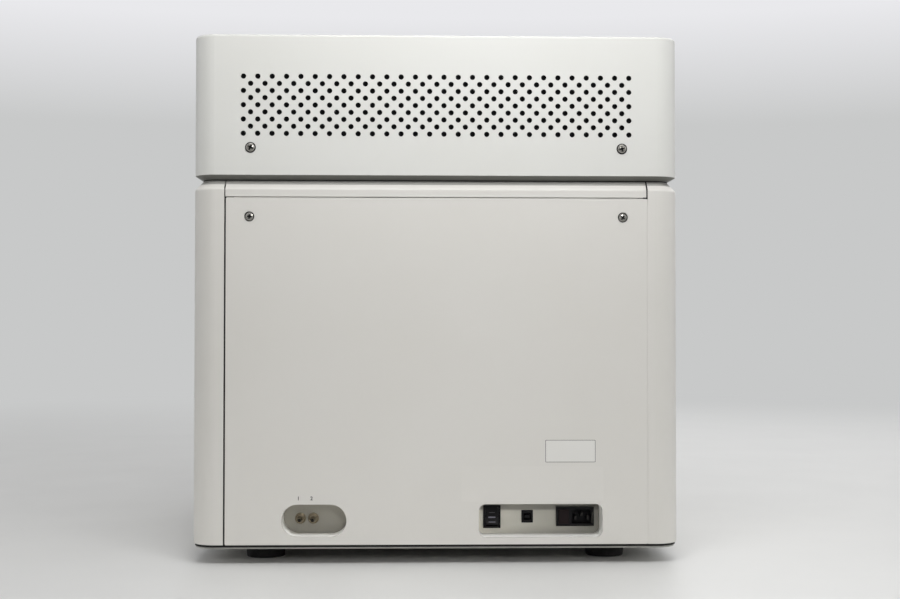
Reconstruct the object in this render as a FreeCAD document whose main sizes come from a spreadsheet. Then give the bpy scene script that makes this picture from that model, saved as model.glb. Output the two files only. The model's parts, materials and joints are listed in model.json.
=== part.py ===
import FreeCAD, Part
import math
import os

import Sketcher

# Bench-top cell analyzer. Millimetres, +Z up, origin on the table under the middle of the case.
# The rear, with the vent grid and the connector bays, faces +Y; the sample door faces -Y.

SIZES = {
    # Lower case
    "case_width": 546,
    "case_depth": 606,
    "case_face_height": 396,
    "case_corner_radius": 26,
    "case_wall": 4,
    "shoulder_rise": 10.1,
    "shoulder_depth": 9.5,
    "shoulder_round": 3,
    "rim_width": 12,
    "rim_below_shoulder": 3,
    "side_wrap": 36.2,
    "seam_gap": 1.2,
    "lip_reach": 10,
    "lip_thickness": 3,
    # Feet and base
    "foot_height": 17.5,
    "foot_radius": 23.5,
    "foot_bottom_radius": 21.5,
    "foot_spacing_side": 393,
    "foot_spacing_end": 476,
    "base_thickness": 1.8,
    "base_inset": 2.5,
    "gasket_thickness": 2.7,
    "gasket_width": 12,
    "gasket_inset": 1.5,
    "pan_thickness": 2,
    "pan_flange": 8,
    "pan_clearance": 2.5,
    # Hood
    "hood_gap": 1,
    "hood_inset": 0.5,
    "hood_face_height": 157.6,
    "hood_lip_rise": 4.9,
    "hood_corner_radius": 24,
    "hood_top_round": 3,
    "hood_wall": 3.5,
    "hood_rim_width": 6,
    "hood_rim_height": 9,
    "vent_pitch": 16,
    "vent_columns": 28,
    "vent_row_pairs": 5,
    "vent_radius": 2.7,
    "vent_bottom": 480.2,
    "hood_screw_spacing": 416,
    "hood_screw_level": 464.4,
    "hood_screw_head_radius": 6,
    "hood_screw_head_height": 2.5,
    "hood_screw_dome_radius": 3.6,
    "screw_shank_radius": 2.4,
    "screw_clearance": 0.2,
    # Rear panel
    "rear_seam_level": 408.5,
    "rear_seam_gap": 1,
    "rear_panel_round": 1.5,
    "rear_panel_shift": 0.7,
    "panel_screw_spacing": 418,
    "panel_screw_level": 387.2,
    "panel_screw_head_radius": 5.6,
    "panel_screw_seat_radius": 6.4,
    "panel_screw_seat_depth": 1.6,
    "panel_screw_head_height": 1.3,
    "rail_flange_height": 40,
    # Connector bay
    "bay_depth": 30,
    "bay_wall": 1.5,
    "bay_flange": 6,
    "bay_plate_thickness": 2,
    "port_bay_centre": -116.5,
    "port_bay_width": 138.4,
    "port_bay_bottom": 29.6,
    "port_bay_height": 37.1,
    "port_bay_radius": 8,
    "port_level": 48.7,
    "cutout_clearance": 0.2,
    # Rocker switch
    "switch_centre": -63.4,
    "switch_width": 19.7,
    "switch_height": 25.6,
    "switch_bezel_thickness": 2.5,
    "switch_edge": 1.2,
    "switch_body_depth": 24,
    "rocker_width": 14,
    "rocker_half_height": 9.4,
    "rocker_crest": 5.6,
    "rocker_waist": 4.2,
    "rocker_heel": 3,
    "rocker_heel_half": 4,
    "rocker_tilt": 8,
    "rocker_swing": 0.9,
    "rocker_pivot_depth": 1.5,
    "rocker_play": 0.3,
    "trunnion_radius": 1.5,
    "trunnion_length": 1.2,
    "running_clearance": 0.05,
    # Data port
    "data_centre": -103.8,
    "data_width": 12.9,
    "data_height": 13.8,
    "data_projection": 1,
    "data_depth": 16,
    "data_mouth_width": 8.6,
    "data_mouth_height": 7.9,
    "data_mouth_depth": 9,
    "data_tongue_width": 5.6,
    "data_tongue_height": 3.2,
    # Mains inlet
    "inlet_centre": -158.2,
    "inlet_width": 43,
    "inlet_height": 21.6,
    "inlet_flange_thickness": 2.5,
    "inlet_edge": 2,
    "inlet_body_depth": 30,
    "socket_offset": -8,
    "socket_width": 24,
    "socket_height": 16.4,
    "socket_corner": 4,
    "socket_depth": 16.5,
    "pin_pitch": 7,
    "pin_thickness": 2,
    "pin_height": 4,
    "pin_length": 13,
    "pin_stagger": 4,
    "fuse_offset": 12.9,
    "fuse_width": 11.4,
    "fuse_height": 16.4,
    "fuse_length": 24,
    "fuse_projection": 0.8,
    "fuse_play": 0.3,
    # Fluid bay
    "fluid_bay_centre": 136.2,
    "fluid_bay_width": 72.4,
    "fluid_bay_bottom": 30.7,
    "fluid_bay_height": 36.1,
    "fitting_gas_centre": 153.4,
    "fitting_waste_centre": 138.8,
    "fitting_level": 47.5,
    "fitting_nut_radius": 5.7,
    "fitting_nut_height": 6,
    "fitting_thread_radius": 4,
    "fitting_stem_radius": 2.85,
    "fitting_stem_length": 12,
    "fitting_bore_radius": 1.25,
    "fitting_tail": 12,
    "tube_radius": 4,
    "tube_bore_radius": 2.5,
    "tube_bend_radius": 24,
    "tube_lead": 20,
    "gas_tube_level": 340,
    "waste_tube_level": 275,
    # Front panel, sample door and power button
    "door_opening_width": 280,
    "door_opening_height": 110,
    "door_opening_bottom": 262,
    "door_opening_radius": 3,
    "door_gap": 1.5,
    "hinge_pin_radius": 2,
    "hinge_cover": 1,
    "hinge_pin_reach": 8,
    "door_seat_gap": 0.3,
    "door_stop_width": 12,
    "door_frame_wall": 14,
    "grip_width": 90,
    "grip_height": 16,
    "grip_depth": 8,
    "grip_drop": 8,
    "grip_radius": 7,
    "button_centre": 190,
    "button_level": 100,
    "bezel_radius": 13,
    "bezel_barrel_radius": 11,
    "bezel_barrel_length": 18,
    "bezel_floor": 2,
    "button_radius": 8.5,
    "button_play": 0.3,
    "button_travel": 1.5,
    "button_recess": 0.5,
    # Frame and optical bench
    "post_size": 25,
    "post_wall": 3,
    "post_spacing_side": 400,
    "post_spacing_end": 500,
    "deck_thickness": 3,
    "deck_clearance": 1.5,
    "deck_window_width": 300,
    "deck_window_depth": 400,
    "bench_width": 350,
    "bench_front": -130,
    "bench_back": 145,
    "bench_level": 130,
    "bench_thickness": 12,
    "bench_post_radius": 12,
    "bench_post_spacing": 300,
    "bench_post_inset": 25,
    # Incubation chamber and stage
    "chamber_width": 330,
    "chamber_front": -255,
    "chamber_back": 50,
    "chamber_wall": 5,
    "chamber_top": 385,
    "stage_base_bottom": 240,
    "stage_base_thickness": 10,
    "stage_post_radius": 8,
    "stage_post_spacing": 300,
    "stage_post_inset": 15,
    "light_hole_radius": 28,
    "rail_spacing": 200,
    "rail_width": 14,
    "rail_height": 8,
    "rail_length": 290,
    "carriage_width": 232,
    "carriage_depth": 150,
    "carriage_thickness": 12,
    "carriage_window_width": 150,
    "carriage_window_depth": 104,
    "carriage_rest": -160,
    "carriage_play": 0.3,
    "guide_width": 6,
    "guide_height": 6,
    "nest_width": 150,
    "nest_depth": 124,
    "nest_height": 14,
    "plate_length": 128.4,
    "plate_width": 86.1,
    "plate_recess": 9,
    "plate_ledge": 4.5,
    # Focus drive, turret, filter wheel, camera and light engine
    "optical_axis": -96,
    "turret_offset": 32,
    "turret_radius": 50,
    "turret_thickness": 12,
    "turret_level": 188,
    "turret_gap": 0.3,
    "turret_clearance": 2,
    "turret_pin_radius": 6,
    "turret_pin_length": 8,
    "objective_radius": 13,
    "objective_tip_radius": 7,
    "objective_height": 18,
    "objective_tip_height": 8,
    "column_width": 60,
    "column_depth": 28,
    "column_height": 84,
    "focus_arm_width": 56,
    "focus_arm_reach": 88,
    "focus_arm_thickness": 12,
    "focus_plate_thickness": 12,
    "focus_plate_height": 40,
    "wheel_radius": 38,
    "wheel_thickness": 6,
    "wheel_play": 1,
    "wheel_face_play": 0.5,
    "wheel_shaft_radius": 4,
    "wheel_filter_radius": 9,
    "wheel_filter_circle": 24,
    "wheel_housing_wall": 7,
    "wheel_housing_depth": 24,
    "wheel_housing_front": 36,
    "camera_width": 44,
    "camera_length": 60,
    "camera_leg_width": 20,
    "lens_tube_radius": 15,
    "lens_tube_length": 10,
    "engine_width": 70,
    "engine_depth": 110,
    "engine_height": 70,
    "engine_centre": -101,
    "engine_fin_width": 3,
    "engine_fin_height": 12,
    "engine_fin_pitch": 10,
    "engine_fins": 7,
    # Power supply and control board
    "supply_width": 140,
    "supply_depth": 85,
    "supply_height": 55,
    "supply_centre": -130,
    "supply_back": 235,
    "board_width": 130,
    "board_depth": 140,
    "board_thickness": 1.6,
    "board_standoff": 8,
    "board_standoff_radius": 4,
    "board_inset": 8,
    "board_centre": 105,
    "board_middle": -15,
    "chip_size": 40,
    "chip_height": 12,
    # Hood fans and vent filter
    "filter_thickness": 6,
    "filter_margin": 6,
    "fan_spacing": 210,
    "fan_size": 80,
    "fan_depth": 25,
    "fan_bore_radius": 38.5,
    "fan_strut_width": 5,
    "fan_strut_depth": 3,
    "fan_boss_radius": 15,
    "fan_hub_radius": 16,
    "fan_hub_depth": 18,
    "fan_blade_reach": 36.5,
    "fan_blade_root": 2,
    "fan_blade_depth": 15,
    "fan_blade_thickness": 1.8,
    "fan_blade_pitch": 35,
    "fan_blades": 7,
    "fan_gap": 0.3,
}


class Length:
    """A size that carries its value and the sheet expression that gives it."""

    def __init__(self, value, text):
        self.value = float(value)
        self.text = text

    def __add__(self, other):
        other = as_length(other)
        return Length(self.value + other.value, f"({self.text} + {other.text})")

    def __sub__(self, other):
        other = as_length(other)
        return Length(self.value - other.value, f"({self.text} - {other.text})")

    def __mul__(self, other):
        other = as_length(other)
        return Length(self.value * other.value, f"({self.text} * {other.text})")

    def __truediv__(self, other):
        other = as_length(other)
        return Length(self.value / other.value, f"({self.text} / {other.text})")

    def __radd__(self, other):
        return as_length(other) + self

    def __rsub__(self, other):
        return as_length(other) - self

    def __rmul__(self, other):
        return as_length(other) * self

    def __neg__(self):
        return Length(-self.value, f"(0 - {self.text})")


def as_length(number):
    if isinstance(number, Length):
        return number
    return Length(number, repr(float(number)))


class Sizes:
    """The driving sizes, one attribute each."""


# Document and sheet of sizes

doc = FreeCAD.newDocument("cell_analyzer")
sheet = doc.addObject("Spreadsheet::Sheet", "Sizes")
S = Sizes()
for row, (alias, number) in enumerate(SIZES.items(), start=1):
    sheet.set(f"A{row}", str(number))
    sheet.setAlias(f"A{row}", alias)
    setattr(S, alias, Length(number, f"Sizes.{alias}"))
doc.recompute()

nodes = []


def keep(node, label):
    """Lists a finished sub-part under its own name."""
    node.Label = label
    nodes.append(node)
    return node


# General modelling helpers


def bind(thing, **sizes):
    """Ties properties to sizes; a double underscore stands for a dot."""
    for name, size in sizes.items():
        thing.setExpression(name.replace("__", "."), as_length(size).text)


def place(thing, x=0, y=0, z=0):
    bind(thing, Placement__Base__x=x, Placement__Base__y=y, Placement__Base__z=z)


def turned(axis, degrees):
    return FreeCAD.Placement(FreeCAD.Vector(), FreeCAD.Rotation(FreeCAD.Vector(*axis), degrees))


def near(one, other):
    return abs(one - as_length(other).value) < 0.01


def new_body(name):
    return doc.addObject("PartDesign::Body", name)


def new_sketch(body, role, level=0):
    """A sketch on one of the body's own planes, moved along the plane's normal."""
    sketch = body.newObject("Sketcher::SketchObject", body.Name + "_sketch")
    plane = [item for item in body.Origin.OriginFeatures if item.Role == role][0]
    sketch.AttachmentSupport = [(plane, "")]
    sketch.MapMode = "FlatFace"
    sketch.setExpression(".AttachmentOffset.Base.z", as_length(level).text)
    return sketch


def name_last(sketch, index, size):
    name = f"size{index}"
    sketch.renameConstraint(index, name)
    sketch.setExpression("Constraints." + name, as_length(size).text)


def pin_point(sketch, geometry, point, u, v):
    """Fixes a point of the sketch at u, v from its origin."""
    for kind, size in (("DistanceX", u), ("DistanceY", v)):
        value = as_length(size).value
        rule = Sketcher.Constraint(kind, -1, 1, geometry, point, value)
        name_last(sketch, sketch.addConstraint(rule), size)


def polygon(sketch, points):
    first = sketch.GeometryCount
    corners = [FreeCAD.Vector(as_length(u).value, as_length(v).value, 0) for u, v in points]
    count = len(points)
    for index in range(count):
        line = Part.LineSegment(corners[index], corners[(index + 1) % count])
        sketch.addGeometry(line, False)
    for index in range(count):
        following = first + (index + 1) % count
        sketch.addConstraint(Sketcher.Constraint("Coincident", first + index, 2, following, 1))
    for index, (u, v) in enumerate(points):
        pin_point(sketch, first + index, 1, u, v)


def rectangle(sketch, left, right, bottom, top):
    polygon(sketch, [(left, bottom), (right, bottom), (right, top), (left, top)])


def circle(sketch, u, v, radius):
    centre = FreeCAD.Vector(as_length(u).value, as_length(v).value, 0)
    value = as_length(radius).value
    index = sketch.addGeometry(Part.Circle(centre, FreeCAD.Vector(0, 0, 1), value), False)
    pin_point(sketch, index, 3, u, v)
    name_last(sketch, sketch.addConstraint(Sketcher.Constraint("Radius", index, value)), radius)


def round_loop(sketch, centres, radius):
    """Straight runs tangent to equal arcs about the given centres, in turning order."""
    value = as_length(radius).value
    middles = [FreeCAD.Vector(as_length(u).value, as_length(v).value, 0) for u, v in centres]
    count = len(centres)
    normals = []
    for index in range(count):
        run = (middles[(index + 1) % count] - middles[index]).normalize()
        normals.append(FreeCAD.Vector(run.y, -run.x, 0) * value)
    first = sketch.GeometryCount
    for index, middle in enumerate(middles):
        start = normals[index - 1]
        end = normals[index]
        ring = Part.Circle(middle, FreeCAD.Vector(0, 0, 1), value)
        begin = math.atan2(start.y, start.x)
        finish = math.atan2(end.y, end.x)
        sketch.addGeometry(Part.ArcOfCircle(ring, begin, finish), False)
        following = middles[(index + 1) % count]
        sketch.addGeometry(Part.LineSegment(middle + end, following + end), False)
    for index in range(count):
        arc = first + 2 * index
        line = arc + 1
        next_arc = first + 2 * ((index + 1) % count)
        sketch.addConstraint(Sketcher.Constraint("Tangent", arc, 2, line, 1))
        sketch.addConstraint(Sketcher.Constraint("Tangent", line, 2, next_arc, 1))
        pin_point(sketch, arc, 3, *centres[index])
        name_last(sketch, sketch.addConstraint(Sketcher.Constraint("Radius", arc, value)), radius)


def round_rectangle(sketch, left, right, bottom, top, radius):
    inner_left = left + radius
    inner_right = right - radius
    inner_bottom = bottom + radius
    inner_top = top - radius
    centres = [
        (inner_left, inner_bottom),
        (inner_right, inner_bottom),
        (inner_right, inner_top),
        (inner_left, inner_top),
    ]
    round_loop(sketch, centres, radius)


def stadium(sketch, middle, width, bottom, height):
    """A slot with full-round ends."""
    radius = height / 2
    reach = width / 2 - radius
    level = bottom + radius
    round_loop(sketch, [(middle - reach, level), (middle + reach, level)], radius)


def pad(body, sketch, length, middle=False, flip=False):
    feature = body.newObject("PartDesign::Pad", body.Name + "_pad")
    feature.Profile = sketch
    feature.Midplane = middle
    feature.Reversed = flip
    bind(feature, Length=length)
    doc.recompute()
    return feature


def pocket(body, sketch, depth=None, middle=False, flip=False):
    """Cuts to a depth against the sketch's normal, or right through both ways."""
    before = body.Tip.Shape.Volume
    feature = body.newObject("PartDesign::Pocket", body.Name + "_pocket")
    feature.Profile = sketch
    feature.Reversed = flip
    if depth is None:
        feature.Type = 1
        feature.Midplane = True
    else:
        feature.Midplane = middle
        bind(feature, Length=depth)
    doc.recompute()
    if feature.Shape.Volume >= before:
        raise RuntimeError(f"{feature.Name} cuts nothing")
    return feature


def revolve(body, sketch):
    feature = body.newObject("PartDesign::Revolution", body.Name + "_turn")
    feature.Profile = sketch
    feature.ReferenceAxis = (sketch, ["V_Axis"])
    feature.Angle = 360
    doc.recompute()
    return feature


def edge_names(shape, choose):
    return [f"Edge{index}" for index, edge in enumerate(shape.Edges, start=1) if choose(edge)]


def fillet(body, radius, choose):
    base = body.Tip
    names = edge_names(base.Shape, choose)
    feature = body.newObject("PartDesign::Fillet", body.Name + "_round")
    feature.Base = (base, names)
    bind(feature, Radius=radius)
    doc.recompute()
    return feature


def box(name, low, high):
    block = doc.addObject("Part::Box", name)
    bind(block, Length=high[0] - low[0], Width=high[1] - low[1], Height=high[2] - low[2])
    place(block, *low)
    return block


def rod(name, axis, start, radius, length):
    """A cylinder along X, Y or Z from its start point."""
    tilts = {"X": turned((0, 1, 0), 90), "Y": turned((1, 0, 0), -90), "Z": FreeCAD.Placement()}
    cylinder = doc.addObject("Part::Cylinder", name)
    cylinder.Placement = tilts[axis]
    bind(cylinder, Radius=radius, Height=length)
    place(cylinder, *start)
    return cylinder


def fuse(name, shapes):
    joined = doc.addObject("Part::MultiFuse", name)
    joined.Shapes = shapes
    joined.Refine = True
    return joined


def cut(name, base, tools):
    tool = tools[0] if len(tools) == 1 else fuse(name + "_tools", tools)
    result = doc.addObject("Part::Cut", name)
    result.Base = base
    result.Tool = tool
    result.Refine = True
    return result


def common(name, base, tool):
    result = doc.addObject("Part::Common", name)
    result.Base = base
    result.Tool = tool
    result.Refine = True
    return result


def group(name, shapes):
    """Like pieces that stay separate solids in one sub-part."""
    result = doc.addObject("Part::Compound", name)
    result.Links = shapes
    return result


# Levels and faces that several pieces share

half_width = S.case_width / 2
half_depth = S.case_depth / 2
base_top = S.foot_height + S.base_thickness
case_bottom = base_top + S.gasket_thickness
shoulder_level = case_bottom + S.case_face_height
case_top = shoulder_level + S.shoulder_rise
rim_bottom = shoulder_level - S.rim_below_shoulder
hood_bottom = case_top + S.hood_gap
hood_face_bottom = hood_bottom + S.hood_lip_rise
hood_top = hood_face_bottom + S.hood_face_height
hood_rear = half_depth - S.hood_inset
seam_side = half_width - S.side_wrap
panel_half = seam_side - S.seam_gap
panel_back = half_depth - S.case_wall
pan_floor = base_top + S.pan_thickness
bay_back = half_depth - S.bay_depth


def outline(sketch, inset):
    """The case's rounded outline, moved in by an inset."""
    wide = half_width - inset
    deep = half_depth - inset
    round_rectangle(sketch, -wide, wide, -deep, deep, S.case_corner_radius - inset)


# Base plate, gaskets and chassis pan


def make_base_plate():
    body = new_body("base_plate")
    sketch = new_sketch(body, "XY_Plane", S.foot_height)
    outline(sketch, S.base_inset)
    pad(body, sketch, S.base_thickness)
    keep(body, "base_plate")


def make_ring(label, level, inset, width, thickness):
    body = new_body(label)
    sketch = new_sketch(body, "XY_Plane", level)
    outline(sketch, inset)
    outline(sketch, inset + width)
    pad(body, sketch, thickness)
    keep(body, label)


def make_chassis_pan():
    inset = S.gasket_inset + S.gasket_width + S.pan_clearance
    body = new_body("chassis_pan")
    sketch = new_sketch(body, "XY_Plane", base_top)
    outline(sketch, inset)
    pad(body, sketch, S.pan_flange)
    inner = new_sketch(body, "XY_Plane", base_top + S.pan_flange)
    outline(inner, inset + S.pan_thickness)
    pocket(body, inner, S.pan_flange - S.pan_thickness)
    keep(body, "chassis_pan")


def make_foot(label, side, end):
    """A tapered rubber foot, turned about its own axis."""
    body = new_body(label)
    sketch = new_sketch(body, "XZ_Plane")
    profile = [(0, 0), (S.foot_bottom_radius, 0), (S.foot_radius, S.foot_height), (0, S.foot_height)]
    polygon(sketch, profile)
    revolve(body, sketch)
    place(body, side * S.foot_spacing_side / 2, end * S.foot_spacing_end / 2, 0)
    keep(body, label)


make_base_plate()
make_ring("base_gasket", base_top, S.gasket_inset, S.gasket_width, S.gasket_thickness)
make_ring("hood_gasket", case_top, S.shoulder_depth, S.hood_rim_width, S.hood_gap)
make_chassis_pan()
for foot_end, end_name in ((-1, "front"), (1, "rear")):
    for foot_side, side_name in ((-1, "left"), (1, "right")):
        make_foot(f"foot_{end_name}_{side_name}", foot_side, foot_end)


# Lower case: side panels cut from one rounded shell with a bevelled shoulder


def make_case_shell():
    body = new_body("case_shell")
    sketch = new_sketch(body, "XY_Plane", case_bottom)
    outline(sketch, 0)
    pad(body, sketch, shoulder_level - case_bottom)
    lower = new_sketch(body, "XY_Plane", shoulder_level)
    outline(lower, 0)
    upper = new_sketch(body, "XY_Plane", case_top)
    outline(upper, S.shoulder_depth)
    bevel = body.newObject("PartDesign::AdditiveLoft", "case_bevel")
    bevel.Profile = lower
    bevel.Sections = [upper]
    bevel.Ruled = True
    doc.recompute()
    fillet(body, S.shoulder_round, lambda edge: lies_at(edge, shoulder_level))
    hollow = new_sketch(body, "XY_Plane", case_bottom)
    outline(hollow, S.case_wall)
    pocket(body, hollow, rim_bottom - case_bottom, flip=True)
    mouth = new_sketch(body, "XY_Plane", case_top)
    outline(mouth, S.shoulder_depth + S.rim_width)
    pocket(body, mouth)
    return body


def lies_at(edge, level):
    bounds = edge.BoundBox
    return near(bounds.ZMin, level) and near(bounds.ZMax, level)


def make_side_panel(label, side, shell):
    """A panel that wraps both corners, with a lip behind the front and rear panels."""
    low = side * half_width if side < 0 else seam_side
    high = half_width if side > 0 else -seam_side
    region = box(label + "_region", (low, -half_depth, case_bottom), (high, half_depth, case_top))
    skin = common(label + "_skin", shell, region)
    lips = []
    lip_low = seam_side - S.lip_reach
    lip_high = seam_side + S.lip_reach
    if side < 0:
        lip_low, lip_high = -lip_high, -lip_low
    for end in (-1, 1):
        near_face = panel_back - S.lip_thickness if end > 0 else -panel_back
        far_face = near_face + S.lip_thickness
        name = f"{label}_lip{len(lips)}"
        lips.append(box(name, (lip_low, near_face, case_bottom), (lip_high, far_face, rim_bottom)))
    keep(fuse(label, [skin] + lips), label)


case_shell = make_case_shell()
make_side_panel("left_side_panel", -1, case_shell)
make_side_panel("right_side_panel", 1, case_shell)


def rim_profile(sketch, end):
    """Section of the case's rim: wall, bevelled shoulder and inward rim."""
    outer = end * half_depth
    bevel = end * (half_depth - S.shoulder_depth)
    inner = end * (half_depth - S.shoulder_depth - S.rim_width)
    points = [
        (outer, rim_bottom),
        (outer, shoulder_level),
        (bevel, case_top),
        (inner, case_top),
        (inner, rim_bottom),
    ]
    polygon(sketch, points)


def shoulder_edge(end):
    def choose(edge):
        bounds = edge.BoundBox
        return lies_at(edge, shoulder_level) and near(bounds.YMin, end * half_depth) and bounds.XLength > 10

    return choose


def make_rear_rail():
    """The strip above the rear panel, with the flange that the panel's screws bite."""
    body = new_body("rear_top_rail")
    sketch = new_sketch(body, "YZ_Plane")
    rim_profile(sketch, 1)
    pad(body, sketch, panel_half * 2, middle=True)
    face = new_sketch(body, "XZ_Plane", -half_depth)
    rectangle(face, -panel_half, panel_half, S.rear_seam_level + S.rear_seam_gap, rim_bottom)
    pad(body, face, S.case_wall)
    flange = new_sketch(body, "XZ_Plane", -panel_back)
    flange_half = seam_side - S.lip_reach - S.seam_gap
    rectangle(flange, -flange_half, flange_half, rim_bottom - S.rail_flange_height, rim_bottom)
    pad(body, flange, S.lip_thickness)
    fillet(body, S.shoulder_round, shoulder_edge(1))
    holes = new_sketch(body, "XZ_Plane", -half_depth)
    for side in (-1, 1):
        circle(holes, side * S.panel_screw_spacing / 2, S.panel_screw_level, S.screw_shank_radius)
    pocket(body, holes)
    keep(body, "rear_top_rail")


def make_rear_panel():
    body = new_body("rear_panel")
    sheet_sketch = new_sketch(body, "XZ_Plane", -half_depth)
    near_edge = panel_half - S.rear_panel_shift
    far_edge = panel_half + S.rear_panel_shift
    edge_round = S.rear_panel_round
    round_rectangle(sheet_sketch, -far_edge, near_edge, case_bottom, S.rear_seam_level, edge_round)
    pad(body, sheet_sketch, S.case_wall)
    ports = new_sketch(body, "XZ_Plane", -half_depth)
    port_outline(ports, 0)
    pocket(body, ports)
    fluids = new_sketch(body, "XZ_Plane", -half_depth)
    fluid_outline(fluids, 0)
    pocket(body, fluids)
    seats = new_sketch(body, "XZ_Plane", -half_depth)
    holes = new_sketch(body, "XZ_Plane", -half_depth)
    for side in (-1, 1):
        middle = side * S.panel_screw_spacing / 2
        circle(seats, middle, S.panel_screw_level, S.panel_screw_seat_radius)
        circle(holes, middle, S.panel_screw_level, S.screw_shank_radius + S.screw_clearance)
    pocket(body, seats, S.panel_screw_seat_depth, flip=True)
    pocket(body, holes)
    keep(body, "rear_panel")


def port_outline(sketch, grow):
    left = S.port_bay_centre - S.port_bay_width / 2 - grow
    right = S.port_bay_centre + S.port_bay_width / 2 + grow
    bottom = S.port_bay_bottom - grow
    top = S.port_bay_bottom + S.port_bay_height + grow
    round_rectangle(sketch, left, right, bottom, top, S.port_bay_radius + grow)


def fluid_outline(sketch, grow):
    width = S.fluid_bay_width + 2 * grow
    height = S.fluid_bay_height + 2 * grow
    stadium(sketch, S.fluid_bay_centre, width, S.fluid_bay_bottom - grow, height)


def make_panel_screws():
    """Pan-head screws, sunk in the rear panel's seats."""
    screws = []
    head_face = half_depth - S.panel_screw_seat_depth
    for side in (-1, 1):
        middle = side * S.panel_screw_spacing / 2
        tag = f"panel_screw{len(screws)}"
        grip = S.case_wall - S.panel_screw_seat_depth + S.lip_thickness
        start = (middle, head_face, S.panel_screw_level)
        head = rod(tag + "_head", "Y", start, S.panel_screw_head_radius, S.panel_screw_head_height)
        foot = (middle, head_face - grip, S.panel_screw_level)
        shank = rod(tag + "_shank", "Y", foot, S.screw_shank_radius, grip)
        screws.append(fuse(tag, [head, shank]))
    keep(group("rear_panel_screws", screws), "rear_panel_screws")


make_rear_rail()
make_rear_panel()
make_panel_screws()


# Front panel with the door opening and the button hole

door_thickness = 2 * (S.case_wall + S.hinge_pin_radius + S.hinge_cover)
door_axis_y = door_thickness / 2 - half_depth
door_bottom = S.door_opening_bottom + S.door_gap
door_axis_z = door_bottom + door_thickness / 2
door_top = S.door_opening_bottom + S.door_opening_height - S.door_gap
door_half = S.door_opening_width / 2 - S.door_gap
door_inner_face = door_thickness - half_depth


def door_outline(sketch, inset):
    half = S.door_opening_width / 2 - inset
    bottom = S.door_opening_bottom + inset
    top = S.door_opening_bottom + S.door_opening_height - inset
    round_rectangle(sketch, -half, half, bottom, top, S.door_opening_radius)


def make_front_panel():
    body = new_body("front_panel")
    sketch = new_sketch(body, "YZ_Plane")
    rim_profile(sketch, -1)
    pad(body, sketch, panel_half * 2, middle=True)
    face = new_sketch(body, "XZ_Plane", panel_back)
    rectangle(face, -panel_half, panel_half, case_bottom, rim_bottom)
    pad(body, face, S.case_wall)
    fillet(body, S.shoulder_round, shoulder_edge(-1))
    opening = new_sketch(body, "XZ_Plane", panel_back)
    door_outline(opening, 0)
    pocket(body, opening)
    hole = new_sketch(body, "XZ_Plane", panel_back)
    circle(hole, S.button_centre, S.button_level, S.bezel_barrel_radius)
    pocket(body, hole)
    keep(body, "front_panel")


def make_door_frame():
    """A deep frame behind the front panel that leads to the chamber and stops the door."""
    body = new_body("door_frame")
    outer = new_sketch(body, "XZ_Plane", panel_back)
    half = S.door_opening_width / 2 + S.door_frame_wall
    bottom = S.door_opening_bottom - S.door_frame_wall
    top = S.door_opening_bottom + S.door_opening_height + S.door_frame_wall
    rectangle(outer, -half, half, bottom, top)
    pad(body, outer, S.chamber_front + panel_back, flip=True)
    seat = new_sketch(body, "XZ_Plane", panel_back)
    door_outline(seat, 0)
    pocket(body, seat, door_inner_face + S.door_seat_gap + panel_back)
    throat = new_sketch(body, "XZ_Plane", panel_back)
    door_outline(throat, S.door_stop_width)
    pocket(body, throat)
    pin_hole = new_sketch(body, "YZ_Plane")
    circle(pin_hole, door_axis_y, door_axis_z, S.hinge_pin_radius)
    pocket(body, pin_hole, S.door_opening_width + 2 * S.hinge_pin_reach, middle=True)
    keep(body, "door_frame")


def make_sample_door():
    """A drop-down door with a full-round hinge edge and a scooped finger grip."""
    body = new_body("sample_door")
    slab = new_sketch(body, "XZ_Plane", half_depth)
    rectangle(slab, -door_half, door_half, door_axis_z, door_top)
    pad(body, slab, door_thickness, flip=True)
    barrel = new_sketch(body, "YZ_Plane")
    circle(barrel, door_axis_y, door_axis_z, door_thickness / 2)
    pad(body, barrel, door_half * 2, middle=True)
    bore = new_sketch(body, "YZ_Plane")
    circle(bore, door_axis_y, door_axis_z, S.hinge_pin_radius + S.running_clearance)
    pocket(body, bore)
    grip = new_sketch(body, "XZ_Plane", half_depth)
    grip_top = door_top - S.grip_drop
    grip_bottom = grip_top - S.grip_height
    round_rectangle(grip, -S.grip_width / 2, S.grip_width / 2, grip_bottom, grip_top, S.grip_radius)
    pocket(body, grip, S.grip_depth)
    keep(body, "sample_door")


def make_hinge_pin():
    reach = S.door_opening_width / 2 + S.hinge_pin_reach
    pin = rod("door_hinge_pin", "X", (-reach, door_axis_y, door_axis_z), S.hinge_pin_radius, reach * 2)
    keep(pin, "door_hinge_pin")


# The bezel stands as far out of the front as the hood's screws stand out of the rear
bezel_height = S.hood_screw_head_height - S.hood_inset
bezel_face = -half_depth - bezel_height


def make_button_bezel():
    body = new_body("button_bezel")
    ring = new_sketch(body, "XZ_Plane", half_depth)
    circle(ring, S.button_centre, S.button_level, S.bezel_radius)
    pad(body, ring, bezel_height)
    barrel = new_sketch(body, "XZ_Plane", half_depth)
    circle(barrel, S.button_centre, S.button_level, S.bezel_barrel_radius)
    pad(body, barrel, S.bezel_barrel_length, flip=True)
    well = new_sketch(body, "XZ_Plane", half_depth + bezel_height)
    circle(well, S.button_centre, S.button_level, S.button_radius + S.button_play)
    pocket(body, well, bezel_height + S.bezel_barrel_length - S.bezel_floor)
    keep(body, "button_bezel")


def make_power_button():
    front = bezel_face + S.button_recess
    back = S.bezel_barrel_length - S.bezel_floor - half_depth - S.button_travel - S.button_play
    start = (S.button_centre, front, S.button_level)
    keep(rod("power_button", "Y", start, S.button_radius, back - front), "power_button")


make_front_panel()
make_door_frame()
make_sample_door()
make_hinge_pin()
make_button_bezel()
make_power_button()


# Hood with its vent grid


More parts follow.
